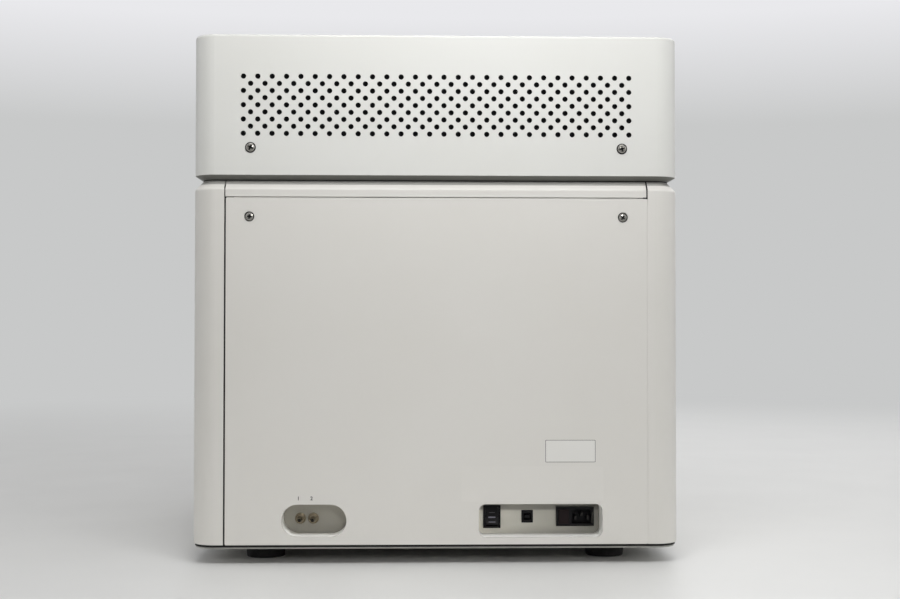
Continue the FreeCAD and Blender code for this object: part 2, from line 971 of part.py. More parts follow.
def hood_outline(sketch, inset):
    wide = half_width - S.hood_inset - inset
    deep = hood_rear - inset
    round_rectangle(sketch, -wide, wide, -deep, deep, S.hood_corner_radius - inset)


def vent_hole(x, z):
    """One eight-sided punch through the hood's rear wall."""
    sides = 8
    wall = sheet.get("hood_wall")
    radius = sheet.get("vent_radius")
    corners = []
    for index in range(sides + 1):
        turn = math.radians((index + 0.5) * 360 / sides)
        across = x + radius * math.cos(turn)
        corners.append(FreeCAD.Vector(across, hood_rear.value - 2 * wall, z + radius * math.sin(turn)))
    return Part.Face(Part.makePolygon(corners)).extrude(FreeCAD.Vector(0, 3 * wall, 0))


def make_vent_grid():
    """Staggered rows: each second row has one hole less and sits half a pitch in."""
    pitch = sheet.get("vent_pitch")
    punches = []
    for row in range(2 * int(sheet.get("vent_row_pairs")) - 1):
        holes = int(sheet.get("vent_columns")) - row % 2
        level = sheet.get("vent_bottom") + row * pitch / 2
        for column in range(holes):
            punches.append(vent_hole((column - (holes - 1) / 2) * pitch, level))
    grid = doc.addObject("Part::Feature", "vent_grid")
    grid.Shape = Part.Compound(punches)
    return grid


def make_hood():
    body = new_body("hood_blank")
    lower = new_sketch(body, "XY_Plane", hood_bottom)
    hood_outline(lower, S.shoulder_depth)
    upper = new_sketch(body, "XY_Plane", hood_face_bottom)
    hood_outline(upper, 0)
    lip = body.newObject("PartDesign::AdditiveLoft", "hood_lip")
    lip.Profile = lower
    lip.Sections = [upper]
    lip.Ruled = True
    doc.recompute()
    face = new_sketch(body, "XY_Plane", hood_face_bottom)
    hood_outline(face, 0)
    pad(body, face, S.hood_face_height)
    fillet(body, S.hood_top_round, lambda edge: lies_at(edge, hood_top))
    mouth = new_sketch(body, "XY_Plane", hood_bottom)
    hood_outline(mouth, S.shoulder_depth + S.hood_rim_width)
    pocket(body, mouth, S.hood_rim_height, flip=True)
    hollow = new_sketch(body, "XY_Plane", hood_bottom + S.hood_rim_height)
    hood_outline(hollow, S.hood_wall)
    pocket(body, hollow, hood_top - S.hood_wall - hood_bottom - S.hood_rim_height, flip=True)
    holes = new_sketch(body, "XZ_Plane", -hood_rear)
    for side in (-1, 1):
        middle = side * S.hood_screw_spacing / 2
        circle(holes, middle, S.hood_screw_level, S.screw_shank_radius + S.screw_clearance)
    pocket(body, holes, S.hood_wall * 2, middle=True)
    keep(cut("hood_shell", body, [make_vent_grid()]), "hood_shell")


def make_hood_screws():
    """Domed screws that stand on the hood's rear face."""
    screws = []
    for side in (-1, 1):
        body = new_body(f"hood_screw{len(screws)}")
        sketch = new_sketch(body, "XY_Plane")
        head = S.hood_screw_head_height
        points = [
            (0, -S.hood_wall),
            (S.screw_shank_radius, -S.hood_wall),
            (S.screw_shank_radius, 0),
            (S.hood_screw_head_radius, 0),
            (S.hood_screw_head_radius, head / 2),
            (S.hood_screw_dome_radius, head),
            (0, head),
        ]
        polygon(sketch, points)
        revolve(body, sketch)
        place(body, side * S.hood_screw_spacing / 2, hood_rear, S.hood_screw_level)
        screws.append(body)
    keep(group("hood_screws", screws), "hood_screws")


make_hood()
make_hood_screws()


# Connector bay: tub, back plate, switch, data port and mains inlet


def make_bay_tub(label, bay_outline):
    """A flanged tub behind an aperture of the rear panel, open at the back."""
    body = new_body(label)
    flange = new_sketch(body, "XZ_Plane", -panel_back)
    bay_outline(flange, S.bay_flange)
    pad(body, flange, S.bay_wall)
    tube = new_sketch(body, "XZ_Plane", -panel_back)
    bay_outline(tube, S.bay_wall)
    pad(body, tube, panel_back - bay_back)
    inner = new_sketch(body, "XZ_Plane", -panel_back)
    bay_outline(inner, 0)
    pocket(body, inner)
    return body


def centred(sketch, middle, level, width, height):
    rectangle(sketch, middle - width / 2, middle + width / 2, level - height / 2, level + height / 2)


def make_port_plate():
    body = new_body("port_plate")
    sheet_sketch = new_sketch(body, "XZ_Plane", -bay_back)
    port_outline(sheet_sketch, S.bay_wall)
    pad(body, sheet_sketch, S.bay_plate_thickness)
    play = 2 * S.cutout_clearance
    cutouts = new_sketch(body, "XZ_Plane", -bay_back)
    switch_width = S.switch_width - 2 * S.switch_edge + play
    switch_height = S.switch_height - 2 * S.switch_edge + play
    centred(cutouts, S.switch_centre, S.port_level, switch_width, switch_height)
    centred(cutouts, S.data_centre, S.port_level, S.data_width + play, S.data_height + play)
    inlet_width = S.inlet_width - 2 * S.inlet_edge + play
    inlet_height = S.inlet_height - 2 * S.inlet_edge + play
    centred(cutouts, S.inlet_centre, S.port_level, inlet_width, inlet_height)
    pocket(body, cutouts)
    keep(body, "port_plate")


rocker_axis_y = bay_back - S.rocker_pivot_depth
rocker_well_width = S.rocker_width + 2 * S.rocker_play


def make_switch_housing():
    body = new_body("switch_housing")
    bezel = new_sketch(body, "XZ_Plane", -bay_back)
    centred(bezel, S.switch_centre, S.port_level, S.switch_width, S.switch_height)
    pad(body, bezel, S.switch_bezel_thickness, flip=True)
    block = new_sketch(body, "XZ_Plane", -bay_back)
    block_width = S.switch_width - 2 * S.switch_edge
    block_height = S.switch_height - 2 * S.switch_edge
    centred(block, S.switch_centre, S.port_level, block_width, block_height)
    pad(body, block, S.switch_body_depth)
    well = new_sketch(body, "XZ_Plane", -bay_back - S.switch_bezel_thickness)
    well_height = 2 * (S.rocker_half_height + S.rocker_play + S.rocker_swing)
    centred(well, S.switch_centre, S.port_level, rocker_well_width, well_height)
    well_depth = S.switch_bezel_thickness + S.rocker_pivot_depth + S.rocker_heel_half + S.rocker_heel
    pocket(body, well, well_depth, flip=True)
    bore = new_sketch(body, "YZ_Plane", S.switch_centre)
    circle(bore, rocker_axis_y, S.port_level, S.trunnion_radius + S.running_clearance)
    bore_length = rocker_well_width + 2 * S.trunnion_length + 2 * S.running_clearance
    pocket(body, bore, bore_length, middle=True)
    keep(body, "switch_housing")


def make_switch_rocker():
    """A rocker with a hollow face, tilted to its off position about its trunnions."""
    body = new_body("switch_rocker")
    side = new_sketch(body, "YZ_Plane")
    points = [
        (-S.rocker_heel, -S.rocker_heel_half),
        (S.rocker_crest, -S.rocker_half_height),
        (S.rocker_waist, 0),
        (S.rocker_crest, S.rocker_half_height),
        (-S.rocker_heel, S.rocker_heel_half),
    ]
    polygon(side, points)
    pad(body, side, S.rocker_width, middle=True)
    trunnion = new_sketch(body, "YZ_Plane")
    circle(trunnion, 0, 0, S.trunnion_radius)
    pad(body, trunnion, S.rocker_width + 2 * S.rocker_play + 2 * S.trunnion_length, middle=True)
    body.Placement = turned((1, 0, 0), S.rocker_tilt.value)
    bind(body, Placement__Rotation__Angle=S.rocker_tilt)
    place(body, S.switch_centre, rocker_axis_y, S.port_level)
    keep(body, "switch_rocker")


def make_data_port():
    body = new_body("data_port")
    front = bay_back + S.data_projection
    block = new_sketch(body, "XZ_Plane", -front)
    centred(block, S.data_centre, S.port_level, S.data_width, S.data_height)
    pad(body, block, S.data_depth)
    mouth = new_sketch(body, "XZ_Plane", -front)
    centred(mouth, S.data_centre, S.port_level, S.data_mouth_width, S.data_mouth_height)
    centred(mouth, S.data_centre, S.port_level, S.data_tongue_width, S.data_tongue_height)
    pocket(body, mouth, S.data_mouth_depth, flip=True)
    keep(body, "data_port")


socket_middle = S.inlet_centre + S.socket_offset
fuse_middle = S.inlet_centre + S.fuse_offset
inlet_front = bay_back + S.inlet_flange_thickness


def make_inlet_housing():
    body = new_body("inlet_housing")
    flange = new_sketch(body, "XZ_Plane", -bay_back)
    centred(flange, S.inlet_centre, S.port_level, S.inlet_width, S.inlet_height)
    pad(body, flange, S.inlet_flange_thickness, flip=True)
    block = new_sketch(body, "XZ_Plane", -bay_back)
    block_width = S.inlet_width - 2 * S.inlet_edge
    block_height = S.inlet_height - 2 * S.inlet_edge
    centred(block, S.inlet_centre, S.port_level, block_width, block_height)
    pad(body, block, S.inlet_body_depth)
    socket = new_sketch(body, "XZ_Plane", -inlet_front)
    left = socket_middle - S.socket_width / 2
    right = socket_middle + S.socket_width / 2
    bottom = S.port_level - S.socket_height / 2
    top = S.port_level + S.socket_height / 2
    points = [
        (left, bottom),
        (right, bottom),
        (right, top - S.socket_corner),
        (right - S.socket_corner, top),
        (left + S.socket_corner, top),
        (left, top - S.socket_corner),
    ]
    polygon(socket, points)
    pocket(body, socket, S.socket_depth, flip=True)
    slot = new_sketch(body, "XZ_Plane", -inlet_front)
    slot_width = S.fuse_width + 2 * S.fuse_play
    slot_height = S.fuse_height + 2 * S.fuse_play
    centred(slot, fuse_middle, S.port_level, slot_width, slot_height)
    pocket(body, slot, S.fuse_length + S.fuse_play, flip=True)
    keep(body, "inlet_housing")


def make_inlet_pins():
    """Three blades on the socket's floor, the earth blade staggered upward."""
    floor = inlet_front - S.socket_depth
    blades = []
    for step in (-1, 0, 1):
        middle = socket_middle + step * S.pin_pitch
        level = S.port_level - S.pin_stagger / 2
        if step == 0:
            level = level + S.pin_stagger
        low = (middle - S.pin_thickness / 2, floor, level - S.pin_height / 2)
        high = (middle + S.pin_thickness / 2, floor + S.pin_length, level + S.pin_height / 2)
        blades.append(box(f"inlet_pin{len(blades)}", low, high))
    keep(group("inlet_pins", blades), "inlet_pins")


def make_fuse_drawer():
    body = new_body("fuse_drawer")
    front = inlet_front + S.fuse_projection
    block = new_sketch(body, "XZ_Plane", -front)
    centred(block, fuse_middle, S.port_level, S.fuse_width, S.fuse_height)
    pad(body, block, S.fuse_length + S.fuse_projection)
    keep(body, "fuse_drawer")


port_tub = make_bay_tub("port_recess_tub", port_outline)
keep(port_tub, "port_recess_tub")
make_port_plate()
make_switch_housing()
make_switch_rocker()
make_data_port()
make_inlet_housing()
make_inlet_pins()
make_fuse_drawer()


# Fluid bay: tub with its back wall, two bulkhead fittings and their tubes


def make_fluid_tub():
    body = make_bay_tub("fluid_recess_tub", fluid_outline)
    back = new_sketch(body, "XZ_Plane", -bay_back)
    fluid_outline(back, S.bay_wall)
    pad(body, back, S.bay_plate_thickness)
    holes = new_sketch(body, "XZ_Plane", -bay_back)
    for middle in (S.fitting_gas_centre, S.fitting_waste_centre):
        circle(holes, middle, S.fitting_level, S.fitting_thread_radius)
    pocket(body, holes)
    keep(body, "fluid_recess_tub")


def make_fitting(label, middle):
    """A turned bulkhead fitting: thread, nut and hose stem round one bore."""
    body = new_body(label)
    sketch = new_sketch(body, "XY_Plane")
    nut = S.fitting_nut_height
    tip = nut + S.fitting_stem_length
    tail = -S.fitting_tail
    points = [
        (S.fitting_bore_radius, tail),
        (S.fitting_thread_radius, tail),
        (S.fitting_thread_radius, 0),
        (S.fitting_nut_radius, 0),
        (S.fitting_nut_radius, nut),
        (S.fitting_stem_radius, nut),
        (S.fitting_stem_radius, tip),
        (S.fitting_bore_radius, tip),
    ]
    polygon(sketch, points)
    revolve(body, sketch)
    place(body, middle, bay_back, S.fitting_level)
    keep(body, label)


def make_tube(label, middle, level):
    """A hose from a fitting's tail, straight back, up and on to the chamber's rear wall."""
    start = bay_back - S.fitting_tail
    radius = S.tube_bend_radius
    rise = start - S.tube_lead - radius
    path = doc.addObject("PartDesign::Body", label)
    route = new_sketch(path, "YZ_Plane", middle)
    corners = [
        FreeCAD.Vector(start.value, S.fitting_level.value, 0),
        FreeCAD.Vector(rise.value, S.fitting_level.value, 0),
        FreeCAD.Vector(rise.value, level.value, 0),
        FreeCAD.Vector(S.chamber_back.value, level.value, 0),
    ]
    bend = radius.value
    up = FreeCAD.Vector(0, bend, 0)
    back = FreeCAD.Vector(bend, 0, 0)
    first_centre = corners[1] + up + back
    second_centre = corners[2] - up - back
    normal = FreeCAD.Vector(0, 0, 1)
    route.addGeometry(Part.LineSegment(corners[0], corners[1] + back), False)
    arc = Part.ArcOfCircle(Part.Circle(first_centre, normal, bend), math.pi, 1.5 * math.pi)
    route.addGeometry(arc, False)
    route.addGeometry(Part.LineSegment(corners[1] + up, corners[2] - up), False)
    arc = Part.ArcOfCircle(Part.Circle(second_centre, normal, bend), 0, 0.5 * math.pi)
    route.addGeometry(arc, False)
    route.addGeometry(Part.LineSegment(corners[2] - back, corners[3]), False)
    for rule in ((0, 2, 1, 2), (1, 1, 2, 1), (2, 2, 3, 1), (3, 2, 4, 1)):
        route.addConstraint(Sketcher.Constraint("Tangent", *rule))
    pin_point(route, 1, 3, rise + radius, S.fitting_level + radius)
    pin_point(route, 3, 3, rise - radius, level - radius)
    name_last(route, route.addConstraint(Sketcher.Constraint("Radius", 1, bend)), radius)
    name_last(route, route.addConstraint(Sketcher.Constraint("Radius", 3, bend)), radius)
    pin_along(route, 0, 1, "DistanceX", start)
    pin_along(route, 0, 1, "DistanceY", S.fitting_level)
    pin_along(route, 4, 2, "DistanceX", S.chamber_back)
    section = new_sketch(path, "XZ_Plane", -start)
    circle(section, middle, S.fitting_level, S.tube_radius)
    circle(section, middle, S.fitting_level, S.tube_bore_radius)
    sweep = path.newObject("PartDesign::AdditivePipe", label + "_sweep")
    sweep.Profile = section
    sweep.Spine = route
    doc.recompute()
    keep(path, label)


def pin_along(sketch, geometry, point, kind, size):
    rule = Sketcher.Constraint(kind, -1, 1, geometry, point, size.value)
    name_last(sketch, sketch.addConstraint(rule), size)


make_fluid_tub()
make_fitting("gas_fitting", S.fitting_gas_centre)
make_fitting("waste_fitting", S.fitting_waste_centre)
make_tube("gas_tube", S.fitting_gas_centre, S.gas_tube_level)
make_tube("waste_tube", S.fitting_waste_centre, S.waste_tube_level)


# Welded frame, top deck and optical bench

deck_bottom = rim_bottom - S.deck_thickness


def make_chassis_frame():
    body = new_body("chassis_frame")
    posts = new_sketch(body, "XY_Plane", pan_floor)
    bore = S.post_size - 2 * S.post_wall
    for side in (-1, 1):
        for end in (-1, 1):
            x = side * S.post_spacing_side / 2
            y = end * S.post_spacing_end / 2
            centred(posts, x, y, S.post_size, S.post_size)
            centred(posts, x, y, bore, bore)
    ring = new_sketch(body, "XY_Plane", deck_bottom - S.post_wall)
    outer_x = S.post_spacing_side + S.post_size
    outer_y = S.post_spacing_end + S.post_size
    centred(ring, 0, 0, outer_x, outer_y)
    centred(ring, 0, 0, outer_x - 2 * S.post_size, outer_y - 2 * S.post_size)
    pad(body, ring, S.post_wall)
    pad(body, posts, deck_bottom - S.post_wall - pan_floor)
    keep(body, "chassis_frame")


def make_top_deck():
    body = new_body("top_deck")
    sketch = new_sketch(body, "XY_Plane", deck_bottom)
    outline(sketch, S.case_wall + S.lip_thickness + S.deck_clearance)
    centred(sketch, 0, 0, S.deck_window_width, S.deck_window_depth)
    pad(body, sketch, S.deck_thickness)
    keep(body, "top_deck")


bench_top = S.bench_level + S.bench_thickness


def make_optical_bench():
    low = (-S.bench_width / 2, S.bench_front, S.bench_level)
    high = (S.bench_width / 2, S.bench_back, bench_top)
    keep(box("optical_bench", low, high), "optical_bench")


def make_posts(label, spacing, rows, start, finish, radius):
    posts = []
    for side in (-1, 1):
        for row in rows:
            start_point = (side * spacing / 2, row, start)
            posts.append(rod(f"{label}{len(posts)}", "Z", start_point, radius, finish - start))
    keep(group(label, posts), label)


make_chassis_frame()
make_top_deck()
make_optical_bench()
bench_rows = (S.bench_front + S.bench_post_inset, S.bench_back - S.bench_post_inset)
make_posts("bench_posts", S.bench_post_spacing, bench_rows, pan_floor, S.bench_level, S.bench_post_radius)
stage_rows = (S.bench_front + S.stage_post_inset, S.chamber_back - S.stage_post_inset)
stage_bottom = S.stage_base_bottom
make_posts("stage_posts", S.stage_post_spacing, stage_rows, bench_top, stage_bottom, S.stage_post_radius)


# Incubation chamber and the two-way stage

stage_top = S.stage_base_bottom + S.stage_base_thickness
rail_top = stage_top + S.rail_height
carriage_top = rail_top + S.carriage_thickness
nest_top = carriage_top + S.nest_height
chamber_half = S.chamber_width / 2


def make_stage_base():
    body = new_body("stage_base")
    sketch = new_sketch(body, "XY_Plane", S.stage_base_bottom)
    rectangle(sketch, -chamber_half, chamber_half, S.chamber_front, S.chamber_back)
    circle(sketch, 0, S.optical_axis, S.light_hole_radius)
    pad(body, sketch, S.stage_base_thickness)
    keep(body, "stage_base")


def make_chamber_shell():
    """A box open at the front to the door frame and closed below by the stage base."""
    body = new_body("chamber_shell")
    outer = new_sketch(body, "XY_Plane", stage_top)
    rectangle(outer, -chamber_half, chamber_half, S.chamber_front, S.chamber_back)
    pad(body, outer, S.chamber_top - stage_top)
    wall = S.chamber_wall
    inner = new_sketch(body, "XY_Plane", stage_top)
    side = chamber_half - wall
    rectangle(inner, -side, side, S.chamber_front + wall, S.chamber_back - wall)
    pocket(body, inner, S.chamber_top - stage_top - wall, flip=True)
    mouth = new_sketch(body, "XZ_Plane", -S.chamber_front)
    door_outline(mouth, S.door_stop_width)
    pocket(body, mouth, wall * 2, middle=True)
    keep(body, "chamber_shell")


def make_stage_rails():
    rails = []
    for side in (-1, 1):
        middle = side * S.rail_spacing / 2
        start = S.chamber_front + S.chamber_wall + S.carriage_play
        low = (middle - S.rail_width / 2, start, stage_top)
        high = (middle + S.rail_width / 2, start + S.rail_length, rail_top)
        rails.append(box(f"stage_rail{len(rails)}", low, high))
    keep(group("stage_rails", rails), "stage_rails")


def make_carriage():
    """A frame on the rails, with two guides along X for the plate nest."""
    body = new_body("stage_carriage")
    frame = new_sketch(body, "XY_Plane", rail_top)
    centred(frame, 0, S.carriage_rest, S.carriage_width, S.carriage_depth)
    centred(frame, 0, S.carriage_rest, S.carriage_window_width, S.carriage_window_depth)
    pad(body, frame, S.carriage_thickness)
    guides = new_sketch(body, "XY_Plane", carriage_top)
    reach = S.nest_depth / 2 + S.carriage_play + S.guide_width / 2
    for end in (-1, 1):
        centred(guides, 0, S.carriage_rest + end * reach, S.carriage_width, S.guide_width)
    pad(body, guides, S.guide_height)
    keep(body, "stage_carriage")


def make_plate_nest():
    body = new_body("plate_nest")
    block = new_sketch(body, "XY_Plane", carriage_top)
    centred(block, 0, S.carriage_rest, S.nest_width, S.nest_depth)
    pad(body, block, S.nest_height)
    seat = new_sketch(body, "XY_Plane", nest_top)
    centred(seat, 0, S.carriage_rest, S.plate_length, S.plate_width)
    pocket(body, seat, S.plate_recess)
    window = new_sketch(body, "XY_Plane", nest_top)
    window_length = S.plate_length - 2 * S.plate_ledge
    window_width = S.plate_width - 2 * S.plate_ledge
    centred(window, 0, S.carriage_rest, window_length, window_width)
    pocket(body, window)
    keep(body, "plate_nest")


make_stage_base()
make_chamber_shell()
make_stage_rails()
make_carriage()
make_plate_nest()


# Focus drive and objective turret

turret_y = S.optical_axis + S.turret_offset
column_front = S.turret_radius + turret_y + S.focus_plate_thickness + S.turret_clearance
arm_top = S.turret_level
arm_bottom = arm_top - S.focus_arm_thickness


def make_focus_column():
    low = (-S.column_width / 2, column_front, bench_top)
    high = (S.column_width / 2, column_front + S.column_depth, bench_top + S.column_height)
    keep(box("focus_column", low, high), "focus_column")


def make_focus_carriage():
    half = S.focus_arm_width / 2
    plate_front = column_front - S.focus_plate_thickness
    plate_low = (-half, plate_front, arm_top - S.focus_plate_height)
    plate = box("focus_plate", plate_low, (half, column_front, arm_top))
    arm_low = (-half, column_front - S.focus_plate_thickness - S.focus_arm_reach, arm_bottom)
    arm = box("focus_arm", arm_low, (half, plate_front, arm_top))
    pin = rod(
        "focus_bore",
        "Z",
        (0, turret_y, arm_top - S.turret_pin_length - S.turret_gap),
        S.turret_pin_radius + S.running_clearance,
        S.turret_pin_length + S.turret_gap,
    )
    keep(cut("focus_carriage", fuse("focus_bracket", [plate, arm]), [pin]), "focus_carriage")


def make_turret():
    body = new_body("objective_turret")
    disc = new_sketch(body, "XY_Plane", arm_top + S.turret_gap)
    circle(disc, 0, 0, S.turret_radius)
    pad(body, disc, S.turret_thickness)
    pin = new_sketch(body, "XY_Plane", arm_top + S.turret_gap)
    circle(pin, 0, 0, S.turret_pin_radius)
    pad(body, pin, S.turret_pin_length, flip=True)
    place(body, 0, turret_y, 0)
    keep(body, "objective_turret")


def make_objectives():
    """Four barrels that step down to their front lenses."""
    seat = arm_top + S.turret_gap + S.turret_thickness
    barrels = []
    for side, end in ((0, -1), (1, 0), (0, 1), (-1, 0)):
        x = side * S.turret_offset
        y = turret_y + end * S.turret_offset
        tag = f"objective{len(barrels)}"
        barrel = rod(tag + "_barrel", "Z", (x, y, seat), S.objective_radius, S.objective_height)
        tip_start = (x, y, seat + S.objective_height)
        tip = rod(tag + "_tip", "Z", tip_start, S.objective_tip_radius, S.objective_tip_height)
        barrels.append(fuse(tag, [barrel, tip]))
    keep(group("objectives", barrels), "objectives")


make_focus_column()
make_focus_carriage()
make_turret()
make_objectives()


# Filter wheel, camera and light engine

wheel_half = S.wheel_radius + S.wheel_play + S.wheel_housing_wall
wheel_level = bench_top + wheel_half
wheel_middle = S.wheel_housing_front + S.wheel_housing_depth / 2
camera_level = wheel_level + S.wheel_filter_circle


def make_wheel_housing():
    body = new_body("filter_wheel_housing")
    block = new_sketch(body, "XZ_Plane", -wheel_middle)
    centred(block, 0, wheel_level, wheel_half * 2, wheel_half * 2)
    pad(body, block, S.wheel_housing_depth, middle=True)
    cavity = new_sketch(body, "XZ_Plane", -wheel_middle)
    circle(cavity, 0, wheel_level, S.wheel_radius + S.wheel_play)
    pocket(body, cavity, S.wheel_thickness + 2 * S.wheel_face_play, middle=True)
    shaft = new_sketch(body, "XZ_Plane", -wheel_middle)
    circle(shaft, 0, wheel_level, S.wheel_shaft_radius + S.running_clearance)
    circle(shaft, 0, camera_level, S.wheel_filter_radius)
    pocket(body, shaft)
    keep(body, "filter_wheel_housing")


def make_filter_wheel():
    body = new_body("filter_wheel")
    disc = new_sketch(body, "XZ_Plane")
    circle(disc, 0, 0, S.wheel_radius)
    pad(body, disc, S.wheel_thickness, middle=True)
    shaft = new_sketch(body, "XZ_Plane")
    circle(shaft, 0, 0, S.wheel_shaft_radius)
    pad(body, shaft, S.wheel_housing_depth, middle=True)
    seat = new_sketch(body, "XZ_Plane")
    circle(seat, 0, S.wheel_filter_circle, S.wheel_filter_radius)
    hole = pocket(body, seat)
    pattern = body.newObject("PartDesign::PolarPattern", "filter_seats")
    pattern.Originals = [hole]
    pattern.Axis = (seat, ["N_Axis"])
    pattern.Angle = 360
    pattern.Occurrences = 6
    body.Tip = pattern
    doc.recompute()
    place(body, 0, wheel_middle, wheel_level)
    keep(body, "filter_wheel")


def make_camera():
    front = S.wheel_housing_front + S.wheel_housing_depth
    half = S.camera_width / 2
    lens_start = (0, front, camera_level)
    lens = rod("camera_lens", "Y", lens_start, S.lens_tube_radius, S.lens_tube_length)
    low = (-half, front + S.lens_tube_length, camera_level - half)
    high = (half, front + S.lens_tube_length + S.camera_length, camera_level + half)
    head = box("camera_head", low, high)
    leg_half = S.camera_leg_width / 2
    leg = box("camera_leg", (-leg_half, low[1], bench_top), (leg_half, high[1], low[2]))
    keep(fuse("camera", [lens, head, leg]), "camera")


def make_light_engine():
    low_x = S.engine_centre - S.engine_width / 2
    high_x = S.engine_centre + S.engine_width / 2
    low_y = -S.engine_depth / 2
    high_y = S.engine_depth / 2
    top = bench_top + S.engine_height
    body = new_body("light_engine")
    block = new_sketch(body, "XY_Plane", bench_top)
    rectangle(block, low_x, high_x, low_y, high_y)
    pad(body, block, S.engine_height - S.engine_fin_height)
    fin = new_sketch(body, "XY_Plane", top - S.engine_fin_height)
    rectangle(fin, low_x, low_x + S.engine_fin_width, low_y, high_y)
    first = pad(body, fin, S.engine_fin_height)
    pattern = body.newObject("PartDesign::LinearPattern", "engine_fins_row")
    pattern.Originals = [first]
    pattern.Direction = (fin, ["H_Axis"])
    bind(pattern, Length=(S.engine_fins - 1) * S.engine_fin_pitch, Occurrences=S.engine_fins)
    body.Tip = pattern
    doc.recompute()
    keep(body, "light_engine")


make_wheel_housing()
make_filter_wheel()
make_camera()
make_light_engine()


# Power supply and control board


def make_power_supply():
    half = S.supply_width / 2
    low = (S.supply_centre - half, S.supply_back - S.supply_depth, pan_floor)
    high = (S.supply_centre + half, S.supply_back, pan_floor + S.supply_height)
    keep(box("power_supply", low, high), "power_supply")


def make_control_board():
    board_bottom = pan_floor + S.board_standoff
    board_top = board_bottom + S.board_thickness
    half_x = S.board_width / 2
    half_y = S.board_depth / 2
    low = (S.board_centre - half_x, S.board_middle - half_y, board_bottom)
    high = (S.board_centre + half_x, S.board_middle + half_y, board_top)
    pieces = [box("board_sheet", low, high)]
    for side in (-1, 1):
        for end in (-1, 1):
            x = S.board_centre + side * (half_x - S.board_inset)
            y = S.board_middle + end * (half_y - S.board_inset)
            start = (x, y, pan_floor)
            name = f"board_standoff{len(pieces)}"
            pieces.append(rod(name, "Z", start, S.board_standoff_radius, S.board_standoff))
    chip_half = S.chip_size / 2
    chip_low = (S.board_centre - chip_half, S.board_middle - chip_half, board_top)
    chip_high = (S.board_centre + chip_half, S.board_middle + chip_half, board_top + S.chip_height)
    pieces.append(box("board_heat_sink", chip_low, chip_high))
    keep(fuse("control_board", pieces), "control_board")


make_power_supply()
make_control_board()


# Vent filter and hood fans

filter_front = hood_rear - S.hood_wall
fan_rear = filter_front - S.filter_thickness
grid_height = (S.vent_row_pairs - 1) * S.vent_pitch
fan_level = S.vent_bottom + grid_height / 2
boss_face = fan_rear - S.fan_strut_depth


def make_vent_filter():
    half = (S.vent_columns - 1) * S.vent_pitch / 2 + S.filter_margin
    low = (-half, fan_rear, S.vent_bottom - S.filter_margin)
    high = (half, filter_front, S.vent_bottom + grid_height + S.filter_margin)
    keep(box("vent_filter", low, high), "vent_filter")


def make_fan_frames():
    frames = []
    for side in (-1, 1):
        body = new_body(f"fan_frame{len(frames)}")
        block = new_sketch(body, "XZ_Plane")
        centred(block, 0, 0, S.fan_size, S.fan_size)
        circle(block, 0, 0, S.fan_bore_radius)
        pad(body, block, S.fan_depth)
        boss = new_sketch(body, "XZ_Plane")
        circle(boss, 0, 0, S.fan_boss_radius)
        pad(body, boss, S.fan_strut_depth)
        for wide, tall in ((S.fan_size, S.fan_strut_width), (S.fan_strut_width, S.fan_size)):
            strut = new_sketch(body, "XZ_Plane")
            centred(strut, 0, 0, wide, tall)
            pad(body, strut, S.fan_strut_depth)
        place(body, side * S.fan_spacing / 2, fan_rear, fan_level)
        frames.append(body)
    keep(group("fan_frames", frames), "fan_frames")


def make_fan_rotor(label, side):
    """A hub with pitched blades, spinning about Y in front of the frame's boss."""
    body = new_body(label)
    hub = new_sketch(body, "XZ_Plane", S.fan_gap)
    circle(hub, 0, 0, S.fan_hub_radius)
    pad(body, hub, S.fan_hub_depth)
    blade = body.newObject("PartDesign::AdditiveBox", label + "_blade")
    root = S.fan_hub_radius - S.fan_blade_root
    bind(blade, Length=S.fan_blade_reach - root, Width=S.fan_blade_depth, Height=S.fan_blade_thickness)
    plane = [item for item in body.Origin.OriginFeatures if item.Role == "XY_Plane"][0]
    blade.AttachmentSupport = [(plane, "")]
    blade.MapMode = "FlatFace"
    tilt = FreeCAD.Rotation(FreeCAD.Vector(1, 0, 0), S.fan_blade_pitch.value)
    middle = -(S.fan_gap + S.fan_hub_depth / 2)
    corner = tilt.multVec(FreeCAD.Vector(0, -S.fan_blade_depth.value / 2, -S.fan_blade_thickness.value / 2))
    start = FreeCAD.Vector(root.value, middle.value, 0) + corner
    blade.AttachmentOffset = FreeCAD.Placement(start, tilt)
    doc.recompute()
    pattern = body.newObject("PartDesign::PolarPattern", label + "_blades")
    pattern.Originals = [blade]
    pattern.Axis = (hub, ["N_Axis"])
    pattern.Angle = 360
    bind(pattern, Occurrences=S.fan_blades)
    body.Tip = pattern
    doc.recompute()
    place(body, side * S.fan_spacing / 2, boss_face, fan_level)
    keep(body, label)


make_vent_filter()
make_fan_frames()
make_fan_rotor("fan_rotor_left", -1)
make_fan_rotor("fan_rotor_right", 1)


# Check every object, then write one file per sub-part

doc.recompute()
for thing in doc.Objects:
    if "Invalid" in thing.State or "Error" in thing.State:
        raise RuntimeError(f"{thing.Name} did not rebuild: {thing.State}")
for node in nodes:
    if node.Shape.isNull() or not node.Shape.isValid():
        raise RuntimeError(f"{node.Label} has no valid shape")

os.makedirs("parts", exist_ok=True)
for node in nodes:
    node.Shape.exportStep(os.path.join("parts", node.Label + ".step"))
print(len(nodes), "sub-parts written")
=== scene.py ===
import json
import math

import bmesh
import bpy
from mathutils import Matrix, Vector


